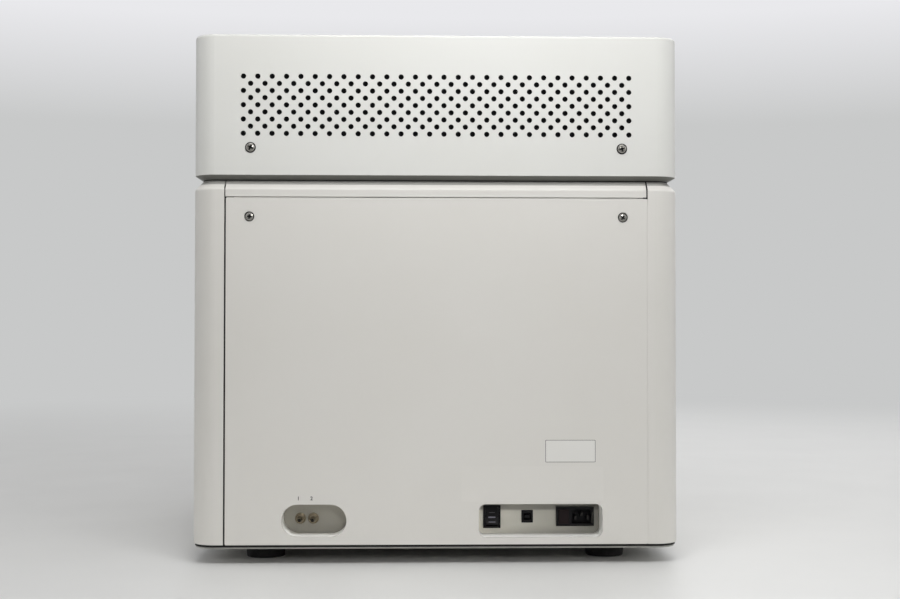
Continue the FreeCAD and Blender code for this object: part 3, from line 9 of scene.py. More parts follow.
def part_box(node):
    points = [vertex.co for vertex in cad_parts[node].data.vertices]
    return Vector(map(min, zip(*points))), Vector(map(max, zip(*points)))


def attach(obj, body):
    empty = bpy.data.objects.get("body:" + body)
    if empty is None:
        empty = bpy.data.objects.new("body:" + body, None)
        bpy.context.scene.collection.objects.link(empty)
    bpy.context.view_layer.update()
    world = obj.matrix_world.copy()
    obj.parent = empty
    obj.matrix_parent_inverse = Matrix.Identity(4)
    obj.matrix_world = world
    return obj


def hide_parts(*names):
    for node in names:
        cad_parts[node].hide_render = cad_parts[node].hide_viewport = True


# The dressed model of a cell analyzer: a studio, the materials, and small pieces that the solids leave out

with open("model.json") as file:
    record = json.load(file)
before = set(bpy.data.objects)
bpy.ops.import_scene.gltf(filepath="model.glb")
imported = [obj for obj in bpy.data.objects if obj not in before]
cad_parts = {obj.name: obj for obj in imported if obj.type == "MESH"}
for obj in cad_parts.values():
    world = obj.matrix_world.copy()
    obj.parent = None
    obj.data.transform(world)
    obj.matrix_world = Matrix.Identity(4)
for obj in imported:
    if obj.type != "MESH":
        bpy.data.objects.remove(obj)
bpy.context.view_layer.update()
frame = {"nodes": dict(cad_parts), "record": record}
nodes = frame["nodes"]
scene = bpy.context.scene
scene.view_settings.view_transform = "Standard"

MM = 0.001
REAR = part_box("rear_panel")[1].y
HOOD_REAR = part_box("hood_shell")[1].y
BAY_DEPTH = 0.03


def linear(red, green, blue):
    """The linear colour of 8-bit display values."""
    out = []
    for value in (red, green, blue):
        value /= 255
        out.append(value / 12.92 if value < 0.04045 else ((value + 0.055) / 1.055) ** 2.4)
    return (*out, 1.0)


# Camera, lamps, world and floor. Lengths are in metres and angles in degrees.

CAMERA_PLACE = (0.0231, 1.755, 0.2665)
CAMERA_LENS = 52
CAMERA_HEADING = 178.5
CAMERA_TILT = 91.12
CAMERA_ROLL = 0.05

# Name, place, what it points at, size, power in watts, and whether glossy surfaces mirror it
LAMPS = (
    ("key", (-0.52, 3.35, 1.30), (0, 0.3, 0.3), (0.45, 0.45), 13, True),
    ("overhead", (-0.15, 1.5, 2.6), (0, 0.25, 0.3), (2.0, 1.3), 15, True),
    ("hood_light", (-0.05, 0.80, 0.93), (-0.02, 0.3, 0.5), (0.6, 0.2), 4.2, False),
    ("window", (-2.6, 1.8, 1.1), (0, 0.1, 0.3), (2.0, 1.8), 6.5, True),
    ("left_fill", (3.2, -0.3, 1.3), (0, 0, 0.3), (3.0, 2.4), 34, True),
    ("right_fill", (-3.2, -0.3, 1.3), (0, 0, 0.3), (3.0, 2.4), 30, True),
    ("ceiling", (-0.1, 0.1, 2.9), (0, 0.1, 0.3), (2.2, 1.8), 5, True),
    ("front_fill", (-0.8, -2.9, 1.5), (0, 0, 0.3), (3.0, 2.2), 32, True),
)

WORLD_LIGHT = (0.97, 0.98, 1.0, 1)
WORLD_STRENGTH = 0.2
BACKDROP = linear(200, 201, 201)
BACKDROP_HIGH = linear(233, 233, 236)
BACKDROP_RISE = (0.15, 0.23)

FLOOR_RADIUS = 14
FLOOR_TONES = (linear(206, 206, 204), linear(213, 213, 211))
# The floor as other surfaces see it: pale near the object and darker further off
TABLE_TONES = (linear(240, 239, 236), linear(110, 110, 108))
TABLE_EDGE = (0.62, 0.95)
# How far out the floor turns into the backdrop
FLOOR_FADE = (0.8, 3.2)


def make_camera():
    data = bpy.data.cameras.new("camera")
    data.sensor_width = 36
    data.lens = CAMERA_LENS
    data.clip_end = 60
    camera = bpy.data.objects.new("camera", data)
    camera.location = CAMERA_PLACE
    aim = Matrix.Rotation(math.radians(CAMERA_HEADING), 3, "Z")
    aim = aim @ Matrix.Rotation(math.radians(CAMERA_TILT), 3, "X")
    camera.rotation_euler = (aim @ Matrix.Rotation(math.radians(CAMERA_ROLL), 3, "Z")).to_euler()
    scene.collection.objects.link(camera)
    scene.camera = camera


def make_lamp(name, place, target, size, power, mirrored):
    data = bpy.data.lights.new(name, "AREA")
    data.shape = "RECTANGLE"
    data.size, data.size_y = size
    data.energy = power
    lamp = bpy.data.objects.new(name, data)
    lamp.location = place
    aim = Vector(target) - Vector(place)
    lamp.rotation_euler = aim.to_track_quat("-Z", "Y").to_euler()
    lamp.visible_camera = False
    lamp.visible_glossy = mirrored
    scene.collection.objects.link(lamp)


def ramp(tree, value, low, high, start=0.0, end=1.0):
    """A colour that goes from low to high as the value goes from start to end."""
    node = tree.nodes.new("ShaderNodeValToRGB")
    node.color_ramp.elements[0].position = start
    node.color_ramp.elements[0].color = low
    node.color_ramp.elements[1].position = end
    node.color_ramp.elements[1].color = high
    tree.links.new(value, node.inputs[0])
    return node.outputs[0]


def mixed(tree, factor, low, high):
    """A colour that goes from low to high with the factor; both may be sockets or colours."""
    node = tree.nodes.new("ShaderNodeMix")
    node.data_type = "RGBA"
    tree.links.new(factor, node.inputs[0])
    for value, slot in ((low, node.inputs[6]), (high, node.inputs[7])):
        if isinstance(value, tuple):
            slot.default_value = value
        else:
            tree.links.new(value, slot)
    return node.outputs[2]


def seen_rays(tree):
    """1 for camera, glossy and transmitted rays, 0 for the rest."""
    path = tree.nodes.new("ShaderNodeLightPath")
    total = path.outputs["Is Camera Ray"]
    for name in ("Is Glossy Ray", "Is Transmission Ray"):
        both = tree.nodes.new("ShaderNodeMath")
        both.operation = "MAXIMUM"
        tree.links.new(total, both.inputs[0])
        tree.links.new(path.outputs[name], both.inputs[1])
        total = both.outputs[0]
    return total


def make_world():
    """A weak even light, which the camera and mirrors see as the backdrop."""
    world = bpy.data.worlds.new("studio")
    scene.world = world
    world.use_nodes = True
    tree = world.node_tree
    tree.nodes.clear()
    out = tree.nodes.new("ShaderNodeOutputWorld")
    mix = tree.nodes.new("ShaderNodeMixShader")
    light = tree.nodes.new("ShaderNodeBackground")
    light.inputs["Color"].default_value = WORLD_LIGHT
    light.inputs["Strength"].default_value = WORLD_STRENGTH
    seen = tree.nodes.new("ShaderNodeBackground")
    spot = tree.nodes.new("ShaderNodeTexCoord")
    split = tree.nodes.new("ShaderNodeSeparateXYZ")
    tree.links.new(spot.outputs["Generated"], split.inputs[0])
    sky = ramp(tree, split.outputs["Z"], BACKDROP, BACKDROP_HIGH, *BACKDROP_RISE)
    tree.links.new(sky, seen.inputs["Color"])
    tree.links.new(seen_rays(tree), mix.inputs[0])
    tree.links.new(light.outputs[0], mix.inputs[1])
    tree.links.new(seen.outputs[0], mix.inputs[2])
    tree.links.new(mix.outputs[0], out.inputs["Surface"])


def make_floor():
    """A wide round floor whose far part fades into the backdrop's colour."""
    mesh = bpy.data.meshes.new("floor")
    build = bmesh.new()
    bmesh.ops.create_circle(build, cap_ends=True, segments=128, radius=FLOOR_RADIUS)
    build.to_mesh(mesh)
    build.free()
    floor = bpy.data.objects.new("floor", mesh)
    scene.collection.objects.link(floor)
    paint = bpy.data.materials.new("floor_paint")
    paint.use_nodes = True
    tree = paint.node_tree
    shader = tree.nodes["Principled BSDF"]
    shader.inputs["Roughness"].default_value = 0.55
    spot = tree.nodes.new("ShaderNodeTexCoord")
    noise = tree.nodes.new("ShaderNodeTexNoise")
    noise.inputs["Scale"].default_value = 7
    tree.links.new(spot.outputs["Object"], noise.inputs["Vector"])
    tones = ramp(tree, noise.outputs[0], *FLOOR_TONES)
    away = tree.nodes.new("ShaderNodeVectorMath")
    away.operation = "LENGTH"
    tree.links.new(spot.outputs["Object"], away.inputs[0])
    table = ramp(tree, away.outputs["Value"], *TABLE_TONES, *TABLE_EDGE)
    shade = mixed(tree, seen_rays(tree), table, tones)
    tree.links.new(shade, shader.inputs["Base Color"])
    fade = tree.nodes.new("ShaderNodeMapRange")
    fade.interpolation_type = "SMOOTHSTEP"
    fade.inputs["From Min"].default_value = FLOOR_FADE[0]
    fade.inputs["From Max"].default_value = FLOOR_FADE[1]
    tree.links.new(away.outputs["Value"], fade.inputs["Value"])
    share = tree.nodes.new("ShaderNodeMath")
    share.operation = "MULTIPLY"
    tree.links.new(fade.outputs[0], share.inputs[0])
    tree.links.new(seen_rays(tree), share.inputs[1])
    glow = tree.nodes.new("ShaderNodeEmission")
    glow.inputs["Color"].default_value = BACKDROP
    mix = tree.nodes.new("ShaderNodeMixShader")
    tree.links.new(share.outputs[0], mix.inputs[0])
    tree.links.new(shader.outputs[0], mix.inputs[1])
    tree.links.new(glow.outputs[0], mix.inputs[2])
    tree.links.new(mix.outputs[0], tree.nodes["Material Output"].inputs["Surface"])
    mesh.materials.append(paint)


make_camera()
for lamp_facts in LAMPS:
    make_lamp(*lamp_facts)
make_world()
make_floor()


# Materials. Object coordinates are metres in the model's frame, so every scale is per metre.


class Finish:
    """A Principled material and the nodes that vary it."""

    def __init__(self, name, colour, roughness, metallic=0.0, gloss=0.5):
        self.material = bpy.data.materials.new(name)
        self.material.use_nodes = True
        self.tree = self.material.node_tree
        self.shader = self.tree.nodes["Principled BSDF"]
        self.shader.inputs["Base Color"].default_value = colour
        self.shader.inputs["Roughness"].default_value = roughness
        self.shader.inputs["Metallic"].default_value = metallic
        self.shader.inputs["Specular IOR Level"].default_value = gloss
        self.colour = colour
        self.roughness = roughness
        spot = self.tree.nodes.new("ShaderNodeTexCoord")
        self.spot = spot.outputs["Object"]
        self.bump_out = None

    def link(self, start, end):
        self.tree.links.new(start, end)

    def axes(self):
        """The object coordinates as sockets named X, Y and Z."""
        split = self.tree.nodes.new("ShaderNodeSeparateXYZ")
        self.link(self.spot, split.inputs[0])
        return split.outputs

    def noise(self, scale, detail, stretch=None, rough=0.5):
        node = self.tree.nodes.new("ShaderNodeTexNoise")
        node.inputs["Scale"].default_value = scale
        node.inputs["Detail"].default_value = detail
        node.inputs["Roughness"].default_value = rough
        spot = self.spot
        if stretch:
            mapping = self.tree.nodes.new("ShaderNodeMapping")
            mapping.inputs["Scale"].default_value = stretch
            self.link(self.spot, mapping.inputs["Vector"])
            spot = mapping.outputs[0]
        self.link(spot, node.inputs["Vector"])
        return node.outputs[0]

    def cells(self, scale):
        node = self.tree.nodes.new("ShaderNodeTexVoronoi")
        node.inputs["Scale"].default_value = scale
        self.link(self.spot, node.inputs["Vector"])
        return node.outputs["Distance"]

    def tone(self, value, amount, tint=(1, 1, 1)):
        """Lets the colour drift by a share of itself."""
        low = [c * (1 - amount * t) for c, t in zip(self.colour, tint)] + [1]
        high = [min(1, c * (1 + amount * t)) for c, t in zip(self.colour, tint)] + [1]
        self.link(ramp(self.tree, value, low, high, 0.3, 0.7), self.shader.inputs["Base Color"])

    def zone(self, colour, **limits):
        """Paints what lies inside limits such as z_under=0.43, in metres."""
        places = self.axes()
        inside = None
        for key, limit in limits.items():
            axis, side = key.split("_")
            test = self.tree.nodes.new("ShaderNodeMath")
            test.operation = "LESS_THAN" if side == "under" else "GREATER_THAN"
            test.inputs[1].default_value = limit
            self.link(places[axis.upper()], test.inputs[0])
            if inside is None:
                inside = test.outputs[0]
                continue
            both = self.tree.nodes.new("ShaderNodeMath")
            both.operation = "MULTIPLY"
            self.link(inside, both.inputs[0])
            self.link(test.outputs[0], both.inputs[1])
            inside = both.outputs[0]
        base = self.shader.inputs["Base Color"]
        self.link(mixed(self.tree, inside, base.links[0].from_socket, colour), base)
        return self

    def fade(self, start, end, low, middle, high):
        """Tints the colour along X with three tints, from one place to another in metres."""
        reach = self.tree.nodes.new("ShaderNodeMapRange")
        reach.inputs["From Min"].default_value = start
        reach.inputs["From Max"].default_value = end
        self.link(self.axes()["X"], reach.inputs["Value"])
        tints = self.tree.nodes.new("ShaderNodeValToRGB")
        tints.color_ramp.elements.new(0.5)
        for element, colour in zip(tints.color_ramp.elements, (low, middle, high)):
            element.color = colour
        self.link(reach.outputs[0], tints.inputs[0])
        blend = self.tree.nodes.new("ShaderNodeMix")
        blend.data_type = "RGBA"
        blend.blend_type = "MULTIPLY"
        blend.inputs[0].default_value = 1
        base = self.shader.inputs["Base Color"]
        self.link(base.links[0].from_socket, blend.inputs[6])
        self.link(tints.outputs[0], blend.inputs[7])
        self.link(blend.outputs[2], base)
        return self

    def sheen(self, value, amount):
        """Lets the roughness drift either side of its own value."""
        node = self.tree.nodes.new("ShaderNodeMapRange")
        node.inputs["From Min"].default_value = 0.3
        node.inputs["From Max"].default_value = 0.7
        node.inputs["To Min"].default_value = self.roughness - amount
        node.inputs["To Max"].default_value = self.roughness + amount
        self.link(value, node.inputs["Value"])
        self.link(node.outputs[0], self.shader.inputs["Roughness"])

    def bump(self, value, height, strength):
        """Adds a relief of a height in metres."""
        node = self.tree.nodes.new("ShaderNodeBump")
        node.inputs["Distance"].default_value = height
        node.inputs["Strength"].default_value = strength
        self.link(value, node.inputs["Height"])
        if self.bump_out:
            self.link(self.bump_out, node.inputs["Normal"])
        self.bump_out = node.outputs[0]
        self.link(self.bump_out, self.shader.inputs["Normal"])


def powder_coat(name, colour, roughness):
    """Oven-cured paint: fine orange peel, faint specks and a slow drift of tone."""
    paint = Finish(name, colour, roughness, gloss=0.3)
    paint.tone(paint.noise(5, 4), 0.018, (0.8, 0.9, 1.2))
    paint.sheen(paint.noise(60, 3), 0.06)
    paint.bump(paint.noise(420, 2), 0.00006, 0.35)
    paint.bump(paint.noise(1500, 2), 0.00002, 0.35)
    return paint


def moulded(name, colour, roughness, gloss=0.5):
    """Moulded plastic with a fine spark-eroded grain."""
    plastic = Finish(name, colour, roughness, gloss=gloss)
    plastic.tone(plastic.noise(30, 4), 0.08)
    plastic.sheen(plastic.noise(140, 3), 0.07)
    plastic.bump(plastic.noise(900, 3), 0.00005, 0.4)
    return plastic.material


def brushed(name, colour, roughness):
    """Metal with long fine strokes along X and faint smears."""
    metal = Finish(name, colour, roughness, 1.0)
    strokes = metal.noise(1, 5, (9, 900, 900), 0.7)
    metal.tone(metal.noise(24, 4), 0.07)
    metal.sheen(strokes, 0.09)
    metal.bump(strokes, 0.00002, 0.5)
    return metal.material


def cast(name, colour, roughness):
    """Bead-blasted or plated metal with a soft speckle."""
    metal = Finish(name, colour, roughness, 1.0)
    metal.tone(metal.noise(90, 4), 0.1)
    metal.sheen(metal.noise(220, 3), 0.08)
    metal.bump(metal.noise(1300, 2), 0.00003, 0.4)
    return metal.material


def film(name, colour):
    """Printed film: smoother than the paint under it, with faint brush-off marks."""
    sheet = Finish(name, colour, 0.4)
    sheet.tone(sheet.noise(14, 3), 0.008)
    sheet.sheen(sheet.noise(35, 4), 0.03)
    return sheet.material


def rubber(name, colour):
    """Dull rubber with a pebbled skin."""
    skin = Finish(name, colour, 0.75, gloss=0.25)
    skin.tone(skin.noise(45, 5), 0.18)
    skin.sheen(skin.noise(160, 3), 0.1)
    skin.bump(skin.cells(700), 0.00008, 0.3)
    return skin.material


def anodised(name, colour):
    """Matt anodised aluminium."""
    skin = Finish(name, colour, 0.38, 0.6)
    skin.tone(skin.noise(40, 4), 0.15)
    skin.sheen(skin.noise(300, 3), 0.08)
    skin.bump(skin.noise(1800, 2), 0.00002, 0.3)
    return skin.material


def open_foam(name, colour):
    """Filter foam with open cells."""
    pores = Finish(name, colour, 0.95)
    pores.tone(pores.noise(220, 4), 0.5)
    pores.bump(pores.cells(420), 0.0008, 0.9)
    return pores.material


def clear_hose(name, colour):
    """Milky tube that lets some light through."""
    wall = Finish(name, colour, 0.3)
    wall.shader.inputs["Transmission Weight"].default_value = 0.35
    wall.tone(wall.noise(60, 3), 0.05)
    wall.sheen(wall.noise(90, 3), 0.08)
    return wall.material


def circuit_board(name, colour, track_low, track_high):
    """Solder mask over copper tracks."""
    mask = Finish(name, colour, 0.38)
    tracks = mask.noise(1, 2, (240, 900, 240))
    mask.link(ramp(mask.tree, tracks, track_low, track_high, 0.46, 0.54), mask.shader.inputs["Base Color"])
    mask.bump(tracks, 0.00004, 0.4)
    mask.sheen(mask.noise(200, 3), 0.08)
    return mask.material


HOOD_WHITE = linear(207, 207, 203)
CASE_WHITE = linear(207, 205, 200)
# A whiter copy of the case paint for the bays' tubs, as painted light on their floors and walls
BAY_LIT_WHITE = linear(252, 251, 247)
SHADOW_GREY = linear(124, 124, 119)
SEAM_SHADE_GREY = linear(34, 34, 33)
NECK_SHADE_GREY = linear(152, 151, 147)

# The hood: painted shade makes its lip over the groove and the walls of its vent holes darker
LIP_HEIGHT = 0.0046
VENT_WALL_SHADE = {
    "x_over": -0.23,
    "x_under": 0.23,
    "y_over": HOOD_REAR - 0.004,
    "y_under": HOOD_REAR - 0.0003,
    "z_over": 0.474,
    "z_under": 0.552,
}
gasket_low, gasket_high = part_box("hood_gasket")
hood_paint = powder_coat("hood_paint", HOOD_WHITE, 0.46)
hood_paint.zone(SHADOW_GREY, z_under=gasket_high.z + LIP_HEIGHT)
# Painted shade: the walls of the vent holes in near-black
hood_paint = hood_paint.zone(linear(30, 30, 30), **VENT_WALL_SHADE).material

# The case: painted shade makes its neck under the gasket and the edges of the seams beside the rear panel
# darker
NECK_HEIGHT = 0.0045
SEAM_REACH = 0.0022
SEAM = {"y_over": 0.28, "y_under": REAR - 0.0006}
neck = gasket_low.z - NECK_HEIGHT
seam_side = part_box("rear_panel")[1].x + SEAM_REACH
rail_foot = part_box("rear_top_rail")[0].z
side_paint = powder_coat("side_paint", CASE_WHITE, 0.45)
# Painted shade in the seams: the side panels' edges behind the gaps in dark grey
side_paint.zone(SEAM_SHADE_GREY, x_over=0, x_under=seam_side, **SEAM)
side_paint.zone(SEAM_SHADE_GREY, x_over=-seam_side, x_under=0, z_over=rail_foot, **SEAM)
# Painted shade under the hood's overhang: the side panels' neck in a darker grey
side_paint = side_paint.zone(NECK_SHADE_GREY, z_over=neck).material
case_paint = powder_coat("case_paint", CASE_WHITE, 0.45)
# Painted shade under the hood's overhang, as on the side panels
case_paint = case_paint.zone(NECK_SHADE_GREY, z_over=neck).material
base_paint = powder_coat("base_paint", linear(158, 157, 152), 0.5).material

# The two bays: the fluid bay's back wall; the port bay's plate with a painted shadow along its top, and
# painted light at its +X end that fades to painted shade at its -X end; and painted shade on the port tub's
# top wall
BACK_SKIN = 0.0005
PLATE_LIGHT_TO_SHADE = (linear(255, 255, 255), linear(212, 212, 212), linear(166, 166, 166))
PLATE_SHADE_START = 0.0126
PLATE_SHADE_FULL = 0.0112
TUB_SHADE = 0.0025
plate_low, plate_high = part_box("port_plate")
fluid_wall = powder_coat("fluid_wall", BAY_LIT_WHITE, 0.45)
fluid_wall = fluid_wall.zone(linear(166, 163, 153), y_under=REAR - BAY_DEPTH + BACK_SKIN).material
bay_plate = powder_coat("bay_plate", linear(246, 243, 230), 0.42)
# Painted shadow of the bay's top edge: the plate's top in two darker steps
bay_plate.zone(linear(216, 213, 202), z_over=plate_high.z - PLATE_SHADE_START)
bay_plate.zone(linear(189, 187, 177), z_over=plate_high.z - PLATE_SHADE_FULL)
# Painted light and shade along X: lightest at the plate's +X end and darkest at its -X end
bay_plate = bay_plate.fade(plate_high.x, plate_low.x, *PLATE_LIGHT_TO_SHADE).material
tub_paint = powder_coat("tub_paint", BAY_LIT_WHITE, 0.45)
# Painted shade on the port tub's top wall
tub_paint = tub_paint.zone(linear(96, 95, 91), z_over=plate_high.z - TUB_SHADE).material

black_rubber = rubber("black_rubber", linear(28, 28, 28))
black_plastic = moulded("black_plastic", linear(20, 19, 21), 0.45, gloss=0.14)
fuse_red = moulded("fuse_red", linear(28, 18, 19), 0.45, gloss=0.14)
rib_glint_grey = moulded("rib_glint_grey", linear(116, 114, 126), 0.4)
dim_glint_grey = moulded("dim_glint_grey", linear(58, 57, 62), 0.4)
# Black oxide for the hood's washers; also painted shade for the panel screws' seats and the rail's gap
black_oxide_and_shade = moulded("black_oxide_and_shade", linear(9, 9, 9), 0.5, gloss=0.1)
sleeve_shade_black = moulded("sleeve_shade_black", linear(6, 6, 6), 0.6, gloss=0.04)
ink_grey = moulded("ink_grey", linear(52, 52, 50), 0.5)
screw_steel = cast("screw_steel", linear(150, 148, 142), 0.2)
zinc_steel = cast("zinc_steel", linear(176, 178, 180), 0.36)
nickel = cast("nickel_brass", linear(126, 116, 98), 0.17)
pin_metal = cast("pin_metal", linear(54, 53, 52), 0.5)
label_film = film("label_film", linear(213, 212, 208))
clear_film = film("clear_film", linear(208, 206, 201))

# A node takes the finish of its material slot unless it is named in NODE_FINISH
SLOT_FINISH = {
    "hood_paint": hood_paint,
    "case_paint": case_paint,
    "base_paint": base_paint,
    "black_rubber": black_rubber,
    "zinc_steel": zinc_steel,
    "screw_steel": screw_steel,
    "aluminium": brushed("aluminium", linear(205, 206, 208), 0.34),
    "black_anodised": anodised("black_anodised", linear(34, 35, 38)),
    "black_plastic": black_plastic,
    "nickel_brass": nickel,
    "door_plastic": moulded("door_plastic", linear(58, 62, 68), 0.38),
    "button_steel": brushed("button_steel", linear(196, 197, 199), 0.28),
    "chamber_white": powder_coat("chamber_white", linear(226, 228, 228), 0.4).material,
    "foam": open_foam("foam", linear(20, 20, 21)),
    "hose": clear_hose("hose", linear(196, 200, 196)),
    "board_green": circuit_board("board_green", linear(30, 84, 52), linear(26, 74, 46), linear(58, 122, 76)),
}
NODE_FINISH = {
    "left_side_panel": side_paint,
    "right_side_panel": side_paint,
    "rear_panel_screws": zinc_steel,
    "port_recess_tub": tub_paint,
    "port_plate": bay_plate,
    "fluid_recess_tub": fluid_wall,
    "fuse_drawer": fuse_red,
    "inlet_pins": pin_metal,
}
slot_of = {part["node"]: part["material_slot"] for part in frame["record"]["subparts"]}
for node_name, thing in nodes.items():
    finish = NODE_FINISH.get(node_name) or SLOT_FINISH[slot_of[node_name]]
    thing.data.materials.clear()
    thing.data.materials.append(finish)


# Pieces in mesh code. Their sizes are in millimetres. A profile lists (radius, reach along +Y).

CREASE = 35
DOME_STEPS = 8
DOME_TIP = 0.05
CORNER_STEPS = 6


def finished_mesh(name, build):
    """A mesh in metres from a bmesh in millimetres, which is freed."""
    bmesh.ops.recalc_face_normals(build, faces=build.faces)
    bmesh.ops.scale(build, vec=(MM, MM, MM), verts=build.verts)
    mesh = bpy.data.meshes.new(name)
    build.to_mesh(mesh)
    build.free()
    return mesh


def add_piece(name, build, finish, body="case", crease=CREASE):
    """Turns a bmesh into an object that rides on a body."""
    mesh = finished_mesh(name, build)
    for face in mesh.polygons:
        face.use_smooth = True
    mesh.set_sharp_from_angle(angle=math.radians(crease))
    mesh.materials.append(finish)
    piece = bpy.data.objects.new(name, mesh)
    scene.collection.objects.link(piece)
    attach(piece, body)
    return piece


def join_rings(build, rings, closed=False):
    """Puts faces between rings of points, then caps the ends or joins the last ring to the first."""
    count = len(rings[0])
    following = rings[1:] + rings[:1] if closed else rings[1:]
    for low, high in zip(rings, following):
        for step in range(count):
            after = (step + 1) % count
            build.faces.new((low[step], low[after], high[after], high[step]))
    if not closed:
        build.faces.new(rings[0])
        build.faces.new(rings[-1])


def ring_points(build, centre, radius, reach, count, wave=0.0):
    """A ring of points around an axis along +Y; every second pair may stand out by a wave."""
    points = []
    for step in range(count):
        angle = 2 * math.pi * step / count
        out = radius + (wave if step % 4 < 2 else 0)
        place = (centre[0] + out * math.cos(angle), centre[1] + reach, centre[2] + out * math.sin(angle))
        points.append(build.verts.new(place))
    return points


def turn(build, centre, profile, count=64):
    """A turned solid. A third number in a profile's entry is the wave of its ring."""
    join_rings(build, [ring_points(build, centre, *entry[:2], count, *entry[2:]) for entry in profile])


def hoop(build, centre, profile, count=48):
    """A turned ring with a hole through it: its profile is a closed loop."""
    join_rings(build, [ring_points(build, centre, *entry, count) for entry in profile], closed=True)


def dome(radius, foot, height):
    """The profile of a shallow dome that starts at a foot."""
    out = []
    for step in range(DOME_STEPS + 1):
        angle = math.pi / 2 * step / DOME_STEPS
        out.append((max(radius * math.cos(angle), DOME_TIP), foot + height * math.sin(angle)))
    return out


def cross_recess(centre, spin, reach, arm, half, depth):
    """A tapered cross that a driver's tip would fill, as a mesh of its own."""
    build = bmesh.new()
    outline = [(half, half), (half, arm), (-half, arm), (-half, half), (-arm, half), (-arm, -half)]
    outline += [(-half, -half), (-half, -arm), (half, -arm), (half, -half), (arm, -half), (arm, half)]
    loops = []
    for level, shrink in ((reach + 1, 1.15), (reach, 1.0), (reach - depth, 0.4)):
        loop = []
        for across, along in outline:
            x = (across * math.cos(spin) - along * math.sin(spin)) * shrink
            z = (across * math.sin(spin) + along * math.cos(spin)) * shrink
            loop.append(build.verts.new((centre[0] + x, centre[1] + level, centre[2] + z)))
        loops.append(loop)
    join_rings(build, loops)
    return bpy.data.objects.new("recess", finished_mesh("recess", build))


def carve(piece, cutter):
    """Takes the cutter's shape out of the piece."""
    scene.collection.objects.link(cutter)
    bite = piece.modifiers.new("bite", "BOOLEAN")
    bite.operation = "DIFFERENCE"
    bite.solver = "EXACT"
    bite.object = cutter
    bpy.context.view_layer.update()
    graph = bpy.context.evaluated_depsgraph_get()
    mesh = bpy.data.meshes.new_from_object(piece.evaluated_get(graph))
    piece.modifiers.clear()
    old = piece.data
    piece.data = mesh
    bpy.data.meshes.remove(old)
    bpy.data.objects.remove(cutter)
    mesh.set_sharp_from_angle(angle=math.radians(CREASE))


def plate(name, corners, level, thickness, round_off, finish, body="case", tilt=0.0):
    """A thin film or bar with rounded corners on a face that looks along +Y, or tilts from it.

    The corners are (lowest x, highest x, lowest z, highest z).
    """
    left, right, low, high = corners
    build = bmesh.new()
    points = []
    for x, z, start in ((right, high, 0), (left, high, 90), (left, low, 180), (right, low, 270)):
        across = x - round_off if x == right else x + round_off
        rise = z - round_off if z == high else z + round_off
        for step in range(CORNER_STEPS + 1):
            angle = math.radians(start + 90 * step / CORNER_STEPS)
            points.append((across + round_off * math.cos(angle), rise + round_off * math.sin(angle)))
    edge = min(thickness * 0.4, 0.3)
    middle_x = (left + right) / 2
    middle_z = (low + high) / 2
    loops = []
    for reach, inset in ((0, 0), (thickness - edge, 0), (thickness, edge)):
        loop = []
        for x, z in points:
            share = 1 - inset / math.hypot(x - middle_x, z - middle_z)
            place = (middle_x + (x - middle_x) * share, level + reach, middle_z + (z - middle_z) * share)
            loop.append(build.verts.new(place))
        loops.append(loop)
    join_rings(build, loops)
    turn_by = Matrix.Rotation(math.radians(tilt), 3, "X")
    bmesh.ops.rotate(build, verts=build.verts, cent=(0, level, middle_z), matrix=turn_by)
    add_piece(name, build, finish, body)


def screw_places(node, radius, reach):
    """The centres of a node's two screws: its box ends a radius beyond them on either side."""
    low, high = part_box(node)
    level = (low.z + high.z) / 2 / MM
    spread = high.x / MM - radius
    return (spread, reach, level), (-spread, reach, level)


HOOD_SCREW_RADIUS = 6
WASHER = [(5.0, -0.4), (5.98, -0.3), (5.98, 0.45), (5.75, 0.62), (5.2, 0.62), (5.1, 0.3), (4.0, 0.3)]
HOOD_HEAD = [(2.4, -3.4), (2.4, -0.2), (4.7, 0.25), (4.95, 0.7), (4.95, 1.1)] + dome(4.9, 1.25, 1.2)
HOOD_CROSS = {"reach": 2.4, "arm": 3.6, "half": 1.0, "depth": 2.6}
HOOD_SPINS = (0.45, -0.2)


def make_hood_screws():
    """A domed head in a black washer on each side of the hood."""
    places = screw_places("hood_screws", HOOD_SCREW_RADIUS, HOOD_REAR / MM)
    for number, (centre, spin) in enumerate(zip(places, HOOD_SPINS)):
        build = bmesh.new()
        turn(build, centre, WASHER)
        washer = add_piece(f"hood_screw_washer_{number}", build, black_oxide_and_shade)
        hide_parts("hood_screws")
        build = bmesh.new()
        turn(build, centre, HOOD_HEAD)
        head = add_piece(f"hood_screw_head_{number}", build, screw_steel)
        carve(head, cross_recess(centre, spin, **HOOD_CROSS))
        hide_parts("hood_screws")


VENT_PITCH = 16
VENT_COLUMNS = 28
VENT_ROWS = 9
VENT_LOWEST = 480.2
VENT_SIDES = 20
VENT_SHADE_SLEEVE = [(2.46, -2.6), (2.46, 0), (2.93, 0), (2.93, 0.1)]
VENT_SHADE_SLEEVE += [(2.88, 0.14), (2.4, 0.14), (2.3, 0), (2.3, -2.6)]


def make_vent_shade_sleeves():
    """A thin dark sleeve with a rolled rim in each hole of the staggered vent grid, as painted shade inside
    the holes.
    """
    build = bmesh.new()
    for row in range(VENT_ROWS):
        holes = VENT_COLUMNS - row % 2
        for column in range(holes):
            across = (column - (holes - 1) / 2) * VENT_PITCH
            level = VENT_LOWEST + row * VENT_PITCH / 2
            hoop(build, (across, HOOD_REAR / MM, level), VENT_SHADE_SLEEVE, VENT_SIDES)
    add_piece("vent_rims", build, sleeve_shade_black)


PANEL_SCREW_RADIUS = 5.6
PANEL_SEAT = 1.6
COLLAR = [(5.6, 0.02), (6.3, 0.02), (6.3, 1.5), (6.2, 1.6), (5.8, 1.6), (5.6, 1.3)]
